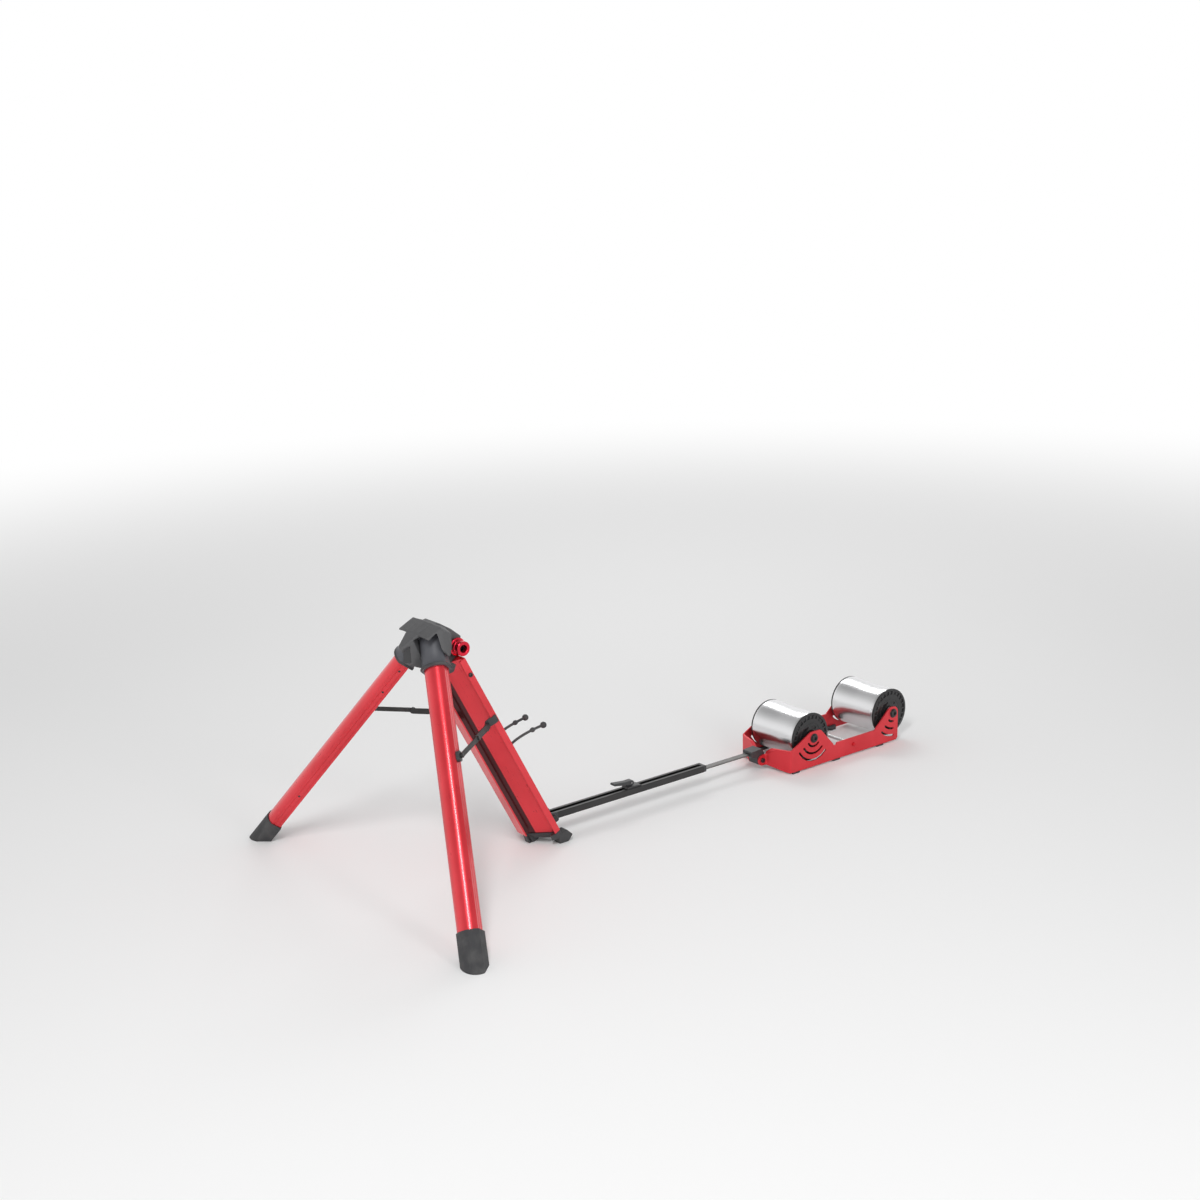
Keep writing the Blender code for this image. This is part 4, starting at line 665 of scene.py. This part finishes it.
for side, _ in SIDES:
    FINISHES |= {
        f"{side}_leg_foot": (RUBBER, 0.6), f"{side}_foot_strip": (RUBBER, 0.5),
        f"{side}_brace_lug": (PLASTIC, 0.6), f"{side}_brace_knuckle": (PLASTIC, 0.6),
        f"{side}_brace_front_link": (DARK_LINK, 0.4), f"{side}_brace_rear_link": (DARK_LINK, 0.4),
        f"{side}_side_plate": (RED_SHEET, 0.35), f"front_drum_{side}_bearing": (BRIGHT_STEEL, 0.3),
        f"rear_drum_{side}_bearing": (BRIGHT_STEEL, 0.3),
        **{f"{side}_{pin}": (BLACK_ANODISED, 0.2)
           for pin in ("knuckle_rivet", "middle_rivet", "lug_rivet", "hinge_pin")},
    }

for node, (finish, edge) in FINISHES.items():
    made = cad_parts[node]
    made.data.materials.clear()
    made.data.materials.append(finish)
    bevelled(made, edge * MM)
print("packed solids with a finish:", len(FINISHES))

# %% [markdown]
# ## Front legs
# Each front leg is one aluminium extrusion with a flat back, flat sides and a round front, and
# two fine grooves down each side. Its section is drawn once and grown by a few millimetres for
# the hood, the band and the room that the casting leaves, so all of them fit each other.

# %% Leg section and tubes
GROOVES = (6.2 * MM, 14.6 * MM)         # how far in front of the back
GROOVE_DEPTH = 0.7 * MM
TUBE_TOP = -14.4 * MM                   # below the pin
FOOT_RISE = 34 * MM                     # the rubber foot covers the rest


def d_outline(grow=0.0, steps=32, grooves=False, corner=1.2 * MM):
    """Flat back and sides and a round front, perhaps with the grooves down each side."""
    half = LEG_WIDTH / 2
    bulge = LEG_DEPTH - LEG_SIDE_DEPTH
    radius = (half * half + bulge * bulge) / (2 * bulge)
    outer, reach = half + grow, radius + grow
    shoulder = degrees(asin(outer / reach))
    front = arc((0, LEG_DEPTH - radius), reach, 90 - shoulder, 90 + shoulder, steps)
    side = [(outer - corner, -grow), (outer - corner * 0.3, -grow + corner * 0.3),
            (outer, -grow + corner)]
    for v in GROOVES if grooves else ():
        side += [(outer, v - 0.9 * MM), (outer - GROOVE_DEPTH, v - 0.5 * MM),
                 (outer - GROOVE_DEPTH, v + 0.5 * MM), (outer, v + 0.9 * MM)]
    return side + front + [(-u, v) for u, v in reversed(side)]


for name, leg in LEGS.items():
    tube = extruded(d_outline(-0.02 * MM, 40, True), FOOT_RISE - leg.length, TUBE_TOP)
    piece(f"{name}_leg_tube", moved(tube, leg.matrix), LEG_REDS[name], f"{name}_leg",
          [f"{name}_front_leg"])

# %% [markdown]
# ## Hoods
# A moulded hood caps each leg and turns with it in the casting, so its top is round about the
# pin. It is lofted from the leg's section, wider towards the rim, where it flares out. Then
# the round top is cut across it, the leg's pocket is cut out, and a remesh softens the whole.
# A darker band runs round the rim.

# %% Hoods and their bands
HOOD_REACH = 36 * MM                    # radius of the hood's round top, about its pin
HOOD_SKIRT = 32 * MM                    # from the pin down to the rim
# How far above the rim, and how far outside the leg's section, in millimetres
HOOD_WALL = ((0, 6.0), (1.2, 6.3), (5.5, 6.2), (6.2, 5.2), (9, 4.3), (13, 3.4), (18, 2.8),
             (24, 2.5), (70, 2.4))
BAND = ((0.3, 6.2), (0.9, 6.7), (4.6, 6.7), (5.3, 6.1), (5.3, 5.0), (0.3, 5.0))


def hood_rings(rows):
    return [[(u, v, rise * MM - HOOD_SKIRT) for u, v in d_outline(grow * MM, 28, corner=2 * MM)]
            for rise, grow in rows]


def build_hood(name, leg):
    hood = plain_object("hood", loft(hood_rings(HOOD_WALL)))
    top = arc((0, 0), HOOD_REACH, 0, 180, 48) + [(-HOOD_REACH, -50 * MM), (HOOD_REACH, -50 * MM)]
    round_top = moved(extruded(top, -50 * MM, 50 * MM), PIN_IN_LEG)
    pocket = extruded(d_outline(0.15 * MM, 28), -HOOD_SKIRT - 5 * MM, -14.2 * MM)
    change(hood, [("INTERSECT", round_top), ("DIFFERENCE", pocket)])
    smoothed(hood, 0.9 * MM, 3)
    piece(f"{name}_hood_shell", moved(taken(hood), leg.matrix), HOOD_PLASTIC, f"{name}_leg",
          [f"{name}_leg_hood"], 180)


def build_band(name, leg):
    rings = hood_rings(BAND)
    band = loft(rings + rings[:1], flat_ends=False)
    piece(f"{name}_hood_band", moved(band, leg.matrix), RUBBER, f"{name}_leg")


for name, leg in LEGS.items():
    build_hood(name, leg)
    build_band(name, leg)

# %% [markdown]
# ## Rivets on the leg's inner side
# Three button heads down the side wall that faces the other leg. A small turned profile is
# enough: the step in it is the socket's edge, and catches the light as the real one does.

# %% Leg rivets
RIVETS_DOWN = (52, 112, 430)            # millimetres below the pin
BUTTON = ((0, 0.15), (1.0, 0.15), (1.2, 0.55), (1.9, 0.5), (2.4, 0.1), (2.4, -0.4), (0, -0.4))

for name, leg in LEGS.items():
    inward = -leg.side
    for number, down in enumerate(RIVETS_DOWN, 1):
        wall = Matrix.Translation((inward * LEG_WIDTH / 2, 10.5 * MM, -down * MM))
        place = leg.matrix @ wall @ Matrix.Rotation(inward * pi / 2, 4, "Y")
        button = turned([(r * MM, w * MM) for r, w in BUTTON], 24)
        piece(f"{name}_leg_rivet_{number}", moved(button, place), BLACK_ANODISED, f"{name}_leg")

# %% [markdown]
# ## Head casting
# One casting holds everything: a nose with a recess in front, a flat wing over each hood, a
# cheek outside each hood that carries its pin, a boss for the axle, and a saddle on the rear
# leg. Modelling its skin face by face would never clear the moving legs. So it is joined from
# convex blocks, then cut by all that a hood passes through, in twelve steps of its fold, and
# then rounded on a fine grid.
#
# Corners are in millimetres: X from the axle bore, Y from the middle outwards, Z from the floor.

# %% Blocks of the casting
NOSE = ((-104, 7, 459), (-103, 9, 450), (-98, 10, 430), (-93, 9, 422), (-86, 15, 465),
        (-86, 15, 423), (-75, 20, 483), (-50, 20, 494), (-34, 19, 494), (-30, 19, 422),
        (-68, 19, 412))
WING = ((-78, 0, 482), (-78, 46, 478.2), (-76, 50, 475.5), (-46, 50, 491.5), (-46, 46, 494),
        (-48, 0, 496), (-76, 0, 477.5), (-74.5, 46, 473.5), (-73, 50, 471.5), (-44, 50, 480),
        (-42, 0, 484), (-38, 46, 488))
SHOULDER = ((-46, 10, 495), (-46, 46, 493), (-24, 48, 478), (-22, 30, 474), (-20, 10, 486),
            (-30, 48, 456), (-24, 48, 446), (-22, 18, 440), (-44, 20, 470), (-44, 46, 476),
            (-50, 18, 440))
CHEEK_TOP = ((-77, 46.5, 477.5), (-75, 50.5, 474), (-46, 50.5, 490), (-46, 46.5, 492),
             (-26, 51, 476), (-28, 47, 480))
SPINE = ((-34, 24, 494), (-8, 22, 478), (14, 20, 460), (17, 20, 434), (-50, 22, 490),
         (-50, 22, 426))
# In the rear leg's frame: to the side, in front of its back, and up the leg
SADDLE = ((40, 2.8, 456), (6, 38, 456), (6, 51, 456), (22, 3, 482), (22, 40, 500))
# One half of the recess in the nose, its slanted top edge higher at the side, and a dark panel in
# it that is painted shade
RECESS = ((-112, 0, 445), (-112, 14.5, 462), (-112, 14.5, 427), (-112, 0, 424), (-99, 0, 445),
          (-99, 0, 424), (-87, 12.6, 460), (-87, 12.6, 427))
SHADE_PANEL = ((-99.6, 0, 444), (-99.6, 0, 425), (-87.8, 12.3, 459), (-87.8, 12.3, 428),
         (-96, 0, 444), (-96, 0, 425), (-85, 11.5, 459), (-85, 11.5, 428))
CHEEK_IN, CHEEK_OUT, CHEEK_RADIUS = 24.3 * MM, 29.5 * MM, 13 * MM
AXLE_Z = 443.5 * MM
BORE_RADIUS = 11.3 * MM
# The axle's frame: W runs across the stand, towards the left
AXLE = axes(Vector((0, 0, AXLE_Z)) + SHIFT, X, Z, -Y)


def one_side(corners, side):
    return [Vector((x, side * y, z)) * MM + SHIFT for x, y, z in corners]


def both_sides(corners):
    return one_side(corners, -1) + one_side(corners, 1)


# %% [markdown]
# The room for a leg is the sum of three things: a barrel about the pin, the flared rim and the
# leg's shank, the last two as blocks that span one step of the fold each.

# %% Room for the folding legs
FOLD_STEPS = 12
HOOD_HALF_WIDTH = 22.4 * MM
# Height from the pin, and how far outside the leg's section
RIM_RINGS = ((-HOOD_SKIRT - 1 * MM, 6.8 * MM), (-HOOD_SKIRT + 6 * MM, 6.8 * MM),
             (-HOOD_SKIRT + 12 * MM, 3.8 * MM), (0, 2.6 * MM))


def leg_room(leg, clearance):
    """What one hood and the top of its leg pass through as the leg folds, as cuts."""
    reach = HOOD_REACH + clearance
    half = HOOD_HALF_WIDTH + clearance
    barrel = turned([(0, -half), (reach, -half), (reach, half), (0, half)], 96)
    steps = [("DIFFERENCE", moved(barrel, leg.pin))]
    rim = [Vector((u, v, w)) for w, grow in RIM_RINGS for u, v in d_outline(grow + clearance, 12)]
    shank = [Vector((u, v, w)) for u, v in d_outline(clearance, 8) for w in (-20 * MM, -170 * MM)]
    for k in range(FOLD_STEPS):
        ends = [leg.turned_by(leg.fold * (k + end) / FOLD_STEPS) for end in (0, 1)]
        for corners in (rim, shank):
            steps.append(("DIFFERENCE", hull([turn @ p for turn in ends for p in corners])))
    return steps


# %% Join, cut and round the casting
def cheek(leg):
    """The wall outside a hood that carries its pin, from the pin up to the wing."""
    walls = [leg.side * CHEEK_IN, leg.side * CHEEK_OUT]
    round_pin = [leg.pin @ Vector((x, y, wall)) for x, y in arc((0, 0), CHEEK_RADIUS, 0, 350, 35)
                 for wall in walls]
    return hull(round_pin + one_side(CHEEK_TOP, leg.side))


def build_head():
    head = plain_object("head_shell", hull(both_sides(NOSE)))
    saddle = [REAR @ (Vector((side * u, v, w)) * MM) for side in (-1, 1) for u, v, w in SADDLE]
    boss = turned([(r * MM, w * MM) for r, w in
                   ((0, -20), (17, -20), (18, -19), (18, 19), (17, 20), (0, 20))], 64)
    bore = turned([(r, w * MM) for r, w in
                   ((0, -80), (BORE_RADIUS, -80), (BORE_RADIUS, 80), (0, 80))], 64)
    steps = [("UNION", hull(both_sides(SPINE))), ("UNION", hull(saddle)),
             ("UNION", moved(boss, AXLE)), ("UNION", hull(both_sides(WING)))]
    for leg in LEGS.values():
        steps += [("UNION", hull(one_side(SHOULDER, leg.side))), ("UNION", cheek(leg))]
    for leg in LEGS.values():
        steps += leg_room(leg, 1.5 * MM)
    steps.append(("DIFFERENCE", moved(bore, AXLE)))
    steps += [("DIFFERENCE", hull(one_side(RECESS, side))) for side in (-1, 1)]
    change(head, steps)
    smoothed(head, 1.0 * MM, 4)
    piece("head_shell", taken(head), CASTING, "stand", ["head_casting"], 180)
    for name, side in SIDES:
        # Each half of the recess gets a dark plastic panel: painted shade, where the recess lies
        # in shade.
        piece(f"{name}_nose_shade_panel", hull(one_side(SHADE_PANEL, side)), PLASTIC, "stand")


build_head()

# %% [markdown]
# ## Top of the rear leg
# The rear leg's extrusion goes on up behind the head, where its red shows past the hoods. It is
# the leg's own section, drawn a little further and cut back by the same leg room as the head.

# %% Rear leg's top
# Half of the section: to the side, and in front of its back, in millimetres
REAR_SECTION = ((50, 0), (50, 13), (47.5, 13), (47.5, 1.9), (7, 41.56), (7, 52.3), (14.2, 52.3),
                (14.2, 55.3))


def build_rear_top():
    outline = [(u * MM, v * MM) for u, v in REAR_SECTION]
    outline += [(-u, v) for u, v in reversed(outline)]
    top = plain_object("top", moved(extruded(outline, 455.1 * MM, 479 * MM), REAR))
    change(top, [step for leg in LEGS.values() for step in leg_room(leg, 2.5 * MM)])
    bevelled(piece("rear_leg_top", taken(top), REAR_RED, "stand"), 0.4 * MM)


build_rear_top()

# %% [markdown]
# ## Axle adapters
# Two red cups on the ends of the axle tube. They come off a lathe, so one profile turned about
# the axle gives every lip and groove, and a mirrored copy makes the other side.

# %% Adapters
# Radius, and distance from the middle, in millimetres
CUP = ((11.3, 26.2), (16.4, 26), (17, 26.6), (17, 29.4), (16.4, 30), (14.6, 30.4), (14, 31),
       (14, 36.4), (13.4, 37), (12.2, 37.6), (12, 38.2), (12, 40.4), (12.4, 41.2), (13.6, 41.7),
       (14, 42.4), (14, 45.2), (13.7, 45.6), (13.7, 46), (14, 46.4), (14, 49.2), (13.3, 50),
       (8.4, 50), (7.6, 49.4), (7.6, 40.3), (11.3, 40.3))

for name, side in SIDES:
    cup = turned([(r * MM, w * MM) for r, w in CUP], 72)
    place = AXLE @ Matrix.Diagonal((1, 1, -side, 1))
    piece(f"{name}_adapter_cup", moved(cup, place), RED_TURNED, "stand",
          [f"{name}_axle_adapter"], 40)

# %% [markdown]
# ## Tie straps
# Two short moulded rubber straps stand out behind the rear leg, each with a swelling and a ball
# at its end. They stand by themselves, so they are pieces and not free cords. Each is rings
# bridged along a smooth curve: straight out of the leg at its flared root, then bending up.

# %% Straps
STRAP_ROOT, STRAP_HEIGHT = 27 * MM, 249 * MM        # to the side, and up the rear leg
STRAP_REACH = 85 * MM
CORD_RADIUS, ROOT_RADIUS, BALL_RADIUS = 2.6 * MM, 5.4 * MM, 6.4 * MM
SWELL_RADIUS, SWELL_HALF, SWELL_AT = 4.9 * MM, 4.8 * MM, 0.76
ROOT_SHARE = 0.05
STRAP_RINGS = 48
RING_ANGLES = [2 * pi * turn / 24 for turn in range(24)]


def strap_radius(t):
    """The strap's radius at a share of its length: a flared root, and one swelling."""
    radius = CORD_RADIUS
    if t < ROOT_SHARE:
        radius = ROOT_RADIUS - 1.6 * MM * (t / ROOT_SHARE) ** 3
    off_swell = abs(t - SWELL_AT) * STRAP_REACH
    if off_swell < SWELL_HALF:
        radius = max(radius, (SWELL_RADIUS ** 2 - off_swell ** 2) ** 0.5)
    return radius


def build_strap(name, side):
    start = REAR @ Vector((side * STRAP_ROOT, -GAP, STRAP_HEIGHT))
    bend = start + (-REAR_FRONT * 0.75 + REAR_UP * 0.1).normalized() * 30 * MM
    end = start + Vector((80, side * 3, 25)).normalized() * STRAP_REACH
    rings = []
    for k in range(STRAP_RINGS + 1):
        t = k / STRAP_RINGS
        point = start * (1 - t) ** 2 + bend * 2 * t * (1 - t) + end * t ** 2
        ahead = -REAR_FRONT
        if t > 0.04:
            ahead = ((bend - start) * (1 - t) + (end - bend) * t).normalized()
        level = ahead.cross(Y).normalized()
        sideways = level.cross(ahead)
        radius = strap_radius(t)
        rings.append([point + (level * cos(a) + sideways * sin(a)) * radius for a in RING_ANGLES])
    ball = bmesh.new()
    bmesh.ops.create_uvsphere(ball, u_segments=32, v_segments=20, radius=BALL_RADIUS)
    bmesh.ops.translate(ball, verts=ball.verts, vec=end)
    piece(f"{name}_strap_cord", added(loft(rings), ball), RUBBER, "stand",
          [f"{name}_tie_strap"], 60)


for name, side in SIDES:
    build_strap(name, side)

# %% [markdown]
# ## Screws at the top of the rear leg
# A button-head screw with a hexagon socket sits in the edge of each flange, below the head. The
# dome is turned, and the socket is a six-sided block cut out of it.

# %% Top screws
SCREW_RADIUS, SCREW_HEIGHT = 4.5 * MM, 3.2 * MM


def build_top_screw(name, side):
    outward = Y * side
    near_top = REAR @ Vector((side * 50 * MM, 6.5 * MM, 443 * MM))
    place = axes(near_top, X, outward.cross(X), outward)
    radius, height = SCREW_RADIUS, SCREW_HEIGHT
    dome = [(0, -1.0 * MM), (radius, -1.0 * MM), (radius, height * 0.35),
            (radius * 0.86, height * 0.8), (radius * 0.6, height), (0, height)]
    socket = extruded(arc((0, 0), radius * 0.42, 0, 300, 5), height * 0.25, height * 2)
    screw = plain_object("screw", turned(dome, 40))
    change(screw, [("DIFFERENCE", socket)])
    piece(f"{name}_top_screw", moved(taken(screw), place), BLACK_ANODISED, "stand", sharp=40)


for name, side in SIDES:
    build_top_screw(name, side)

# %% [markdown]
# ## Drums
# Each drum is a bright metal tube, a little slimmer in the middle than at its ends. That waist
# is too fine for a few flat steps, so its profile follows a cosine in forty, and is turned.

# %% Drums
DRUMS = (("front", 876.1 * MM), ("rear", 1125.4 * MM))
DRUM_Z = 67.9 * MM
DRUM_RADIUS = 53.5 * MM
DRUM_INNER = DRUM_RADIUS - 5.6 * MM
DRUM_HALF = 62 * MM
DRUM_WAIST = 1.6 * MM


def drum_frame(x):
    """W runs along the drum's axle, towards the right."""
    return axes(Vector((x, 0, DRUM_Z)) + SHIFT, X, -Z, Y)


def build_drum(label, x):
    outer = []
    for k in range(41):
        w = -DRUM_HALF + 2 * DRUM_HALF * k / 40
        edge = max(0, abs(w) - DRUM_HALF + 0.8 * MM)
        waist = DRUM_WAIST * cos(w / DRUM_HALF * pi / 2) ** 2
        outer.append((DRUM_RADIUS - waist - edge * 0.6, w))
    shell = turned([(DRUM_INNER, -DRUM_HALF)] + outer + [(DRUM_INNER, DRUM_HALF)], 128)
    piece(f"{label}_drum_shell", moved(shell, drum_frame(x)), MACHINED, f"{label}_roller",
          [f"{label}_drum"], 40)


for label, x in DRUMS:
    build_drum(label, x)

# %% [markdown]
# ## Caps
# A glossy moulded cap closes each end of a drum, with windows round its edge and arc slots in
# its middle. The face is turned, the slots are cut, and what looks like a ring of windows is
# one deep groove with 24 ribs standing across it.

# %% Caps
# Radius, and depth below the cap's face, in millimetres
CAP_PROFILE = (
    (11.3, 12.4), (17, 12.4), (17, 6.4), (44, 6.4), (44, 11.4), (47.6, 11.4), (47.6, 3.4),
    (53.5, 3.4), (53.5, 1), (53.2, 0.3), (52.5, 0), (48.4, 0), (47.9, 0.4), (47.6, 2.6),
    (40.6, 2.6), (40.3, 0.8), (39.8, 0.4), (31, 0.5), (30.5, 0.9), (29.5, 0.9), (29, 0.5),
    (18, 0.6), (17, 0.2), (16.4, 0), (12, 0), (11.3, 0.6),
)
CAP_FACE = DRUM_HALF + GAP + 3.4 * MM
SLOTS, SLOT_HALF_ANGLE, SLOT_OUTER, SLOT_INNER = 6, 17, 25.6 * MM, 21.6 * MM
RIBS, RIB_FROM, RIB_TO = 24, 40.2 * MM, 48 * MM
RIB_SECTION = ((2.2, 2.8), (1.8, 0.9), (1.2, 0.5))      # half width, and depth below the face


def slot_cut(k):
    start, end = k * 360 / SLOTS - SLOT_HALF_ANGLE, k * 360 / SLOTS + SLOT_HALF_ANGLE
    ring = arc((0, 0), SLOT_OUTER, start, end, 12) + arc((0, 0), SLOT_INNER, end, start, 12)
    return "DIFFERENCE", extruded(ring, CAP_FACE - 2 * MM, CAP_FACE + 2 * MM)


def cap_rib(k):
    rib = hull([(u, side * half * MM, CAP_FACE - depth * MM) for u in (RIB_FROM, RIB_TO)
                for half, depth in RIB_SECTION for side in (-1, 1)])
    return moved(rib, Matrix.Rotation(2 * pi * k / RIBS, 4, "Z"))


def build_cap(label, x, name, side):
    rows = [(r * MM, CAP_FACE - depth * MM) for r, depth in CAP_PROFILE]
    cap = plain_object("cap", turned(rows, 96))
    change(cap, [slot_cut(k) for k in range(SLOTS)])
    shape = added(taken(cap), *(cap_rib(k) for k in range(RIBS)))
    place = drum_frame(x) @ Matrix.Diagonal((1, 1, side, 1))
    piece(f"{label}_{name}_cap_face", moved(shape, place), GLOSS_PLASTIC, f"{label}_roller",
          [f"{label}_drum_{name}_cap"], 35)


for label, x in DRUMS:
    for name, side in SIDES:
        build_cap(label, x, name, side)

# %% [markdown]
# ## Axles and pads
# Each drum turns on a fixed axle between the side plates, with a washer and a socket bolt
# outside each plate. Both ends are turned in one profile, so they are alike. Three rubber pads
# sit under each plate, a little proud of it.

# %% Axle bolts
BOLT_SEAT = 77.4 * MM                   # just outside the side plate
# Radius, and height above the seat, in millimetres
BOLT_PROFILE = ((5, 0), (10.4, 0), (10.4, 0.9), (9.8, 1.4), (8.4, 1.4), (8.4, 3.6), (7.8, 4.2),
                (6, 4.5), (0, 4.5))


def build_axle(label, x):
    half = [(r * MM, BOLT_SEAT + w * MM) for r, w in BOLT_PROFILE]
    axle = plain_object("axle", turned([(r, -w) for r, w in reversed(half)] + half, 64))
    socket = arc((0, 0), 4.2 * MM, 0, 300, 5)
    change(axle, [("DIFFERENCE", extruded(socket, side * (BOLT_SEAT + 2 * MM),
                                          side * (BOLT_SEAT + 9 * MM))) for side in (-1, 1)])
    piece(f"{label}_axle_bolts", moved(taken(axle), drum_frame(x)), BLACK_ANODISED,
          "roller_frame", [f"{label}_axle"], 40)


for label, x in DRUMS:
    build_axle(label, x)

# %% Pads under the side plates
PADS_X = (822 * MM, 945 * MM, 1083 * MM)
PAD_IN, PAD_OUT = 74.4 * MM, 78.4 * MM
# Along the plate from the pad's middle, and up from the floor, in millimetres
PAD_SECTION = ((-11, 3.3), (-10, 0.1), (10, 0.1), (11, 3.3))

for name, side in SIDES:
    pads = [hull([Vector((x + u * MM, side * y, z * MM)) + SHIFT for u, z in PAD_SECTION
                  for y in (PAD_IN, PAD_OUT)]) for x in PADS_X]
    piece(f"{name}_plate_pads", added(*pads), RUBBER, "roller_frame")
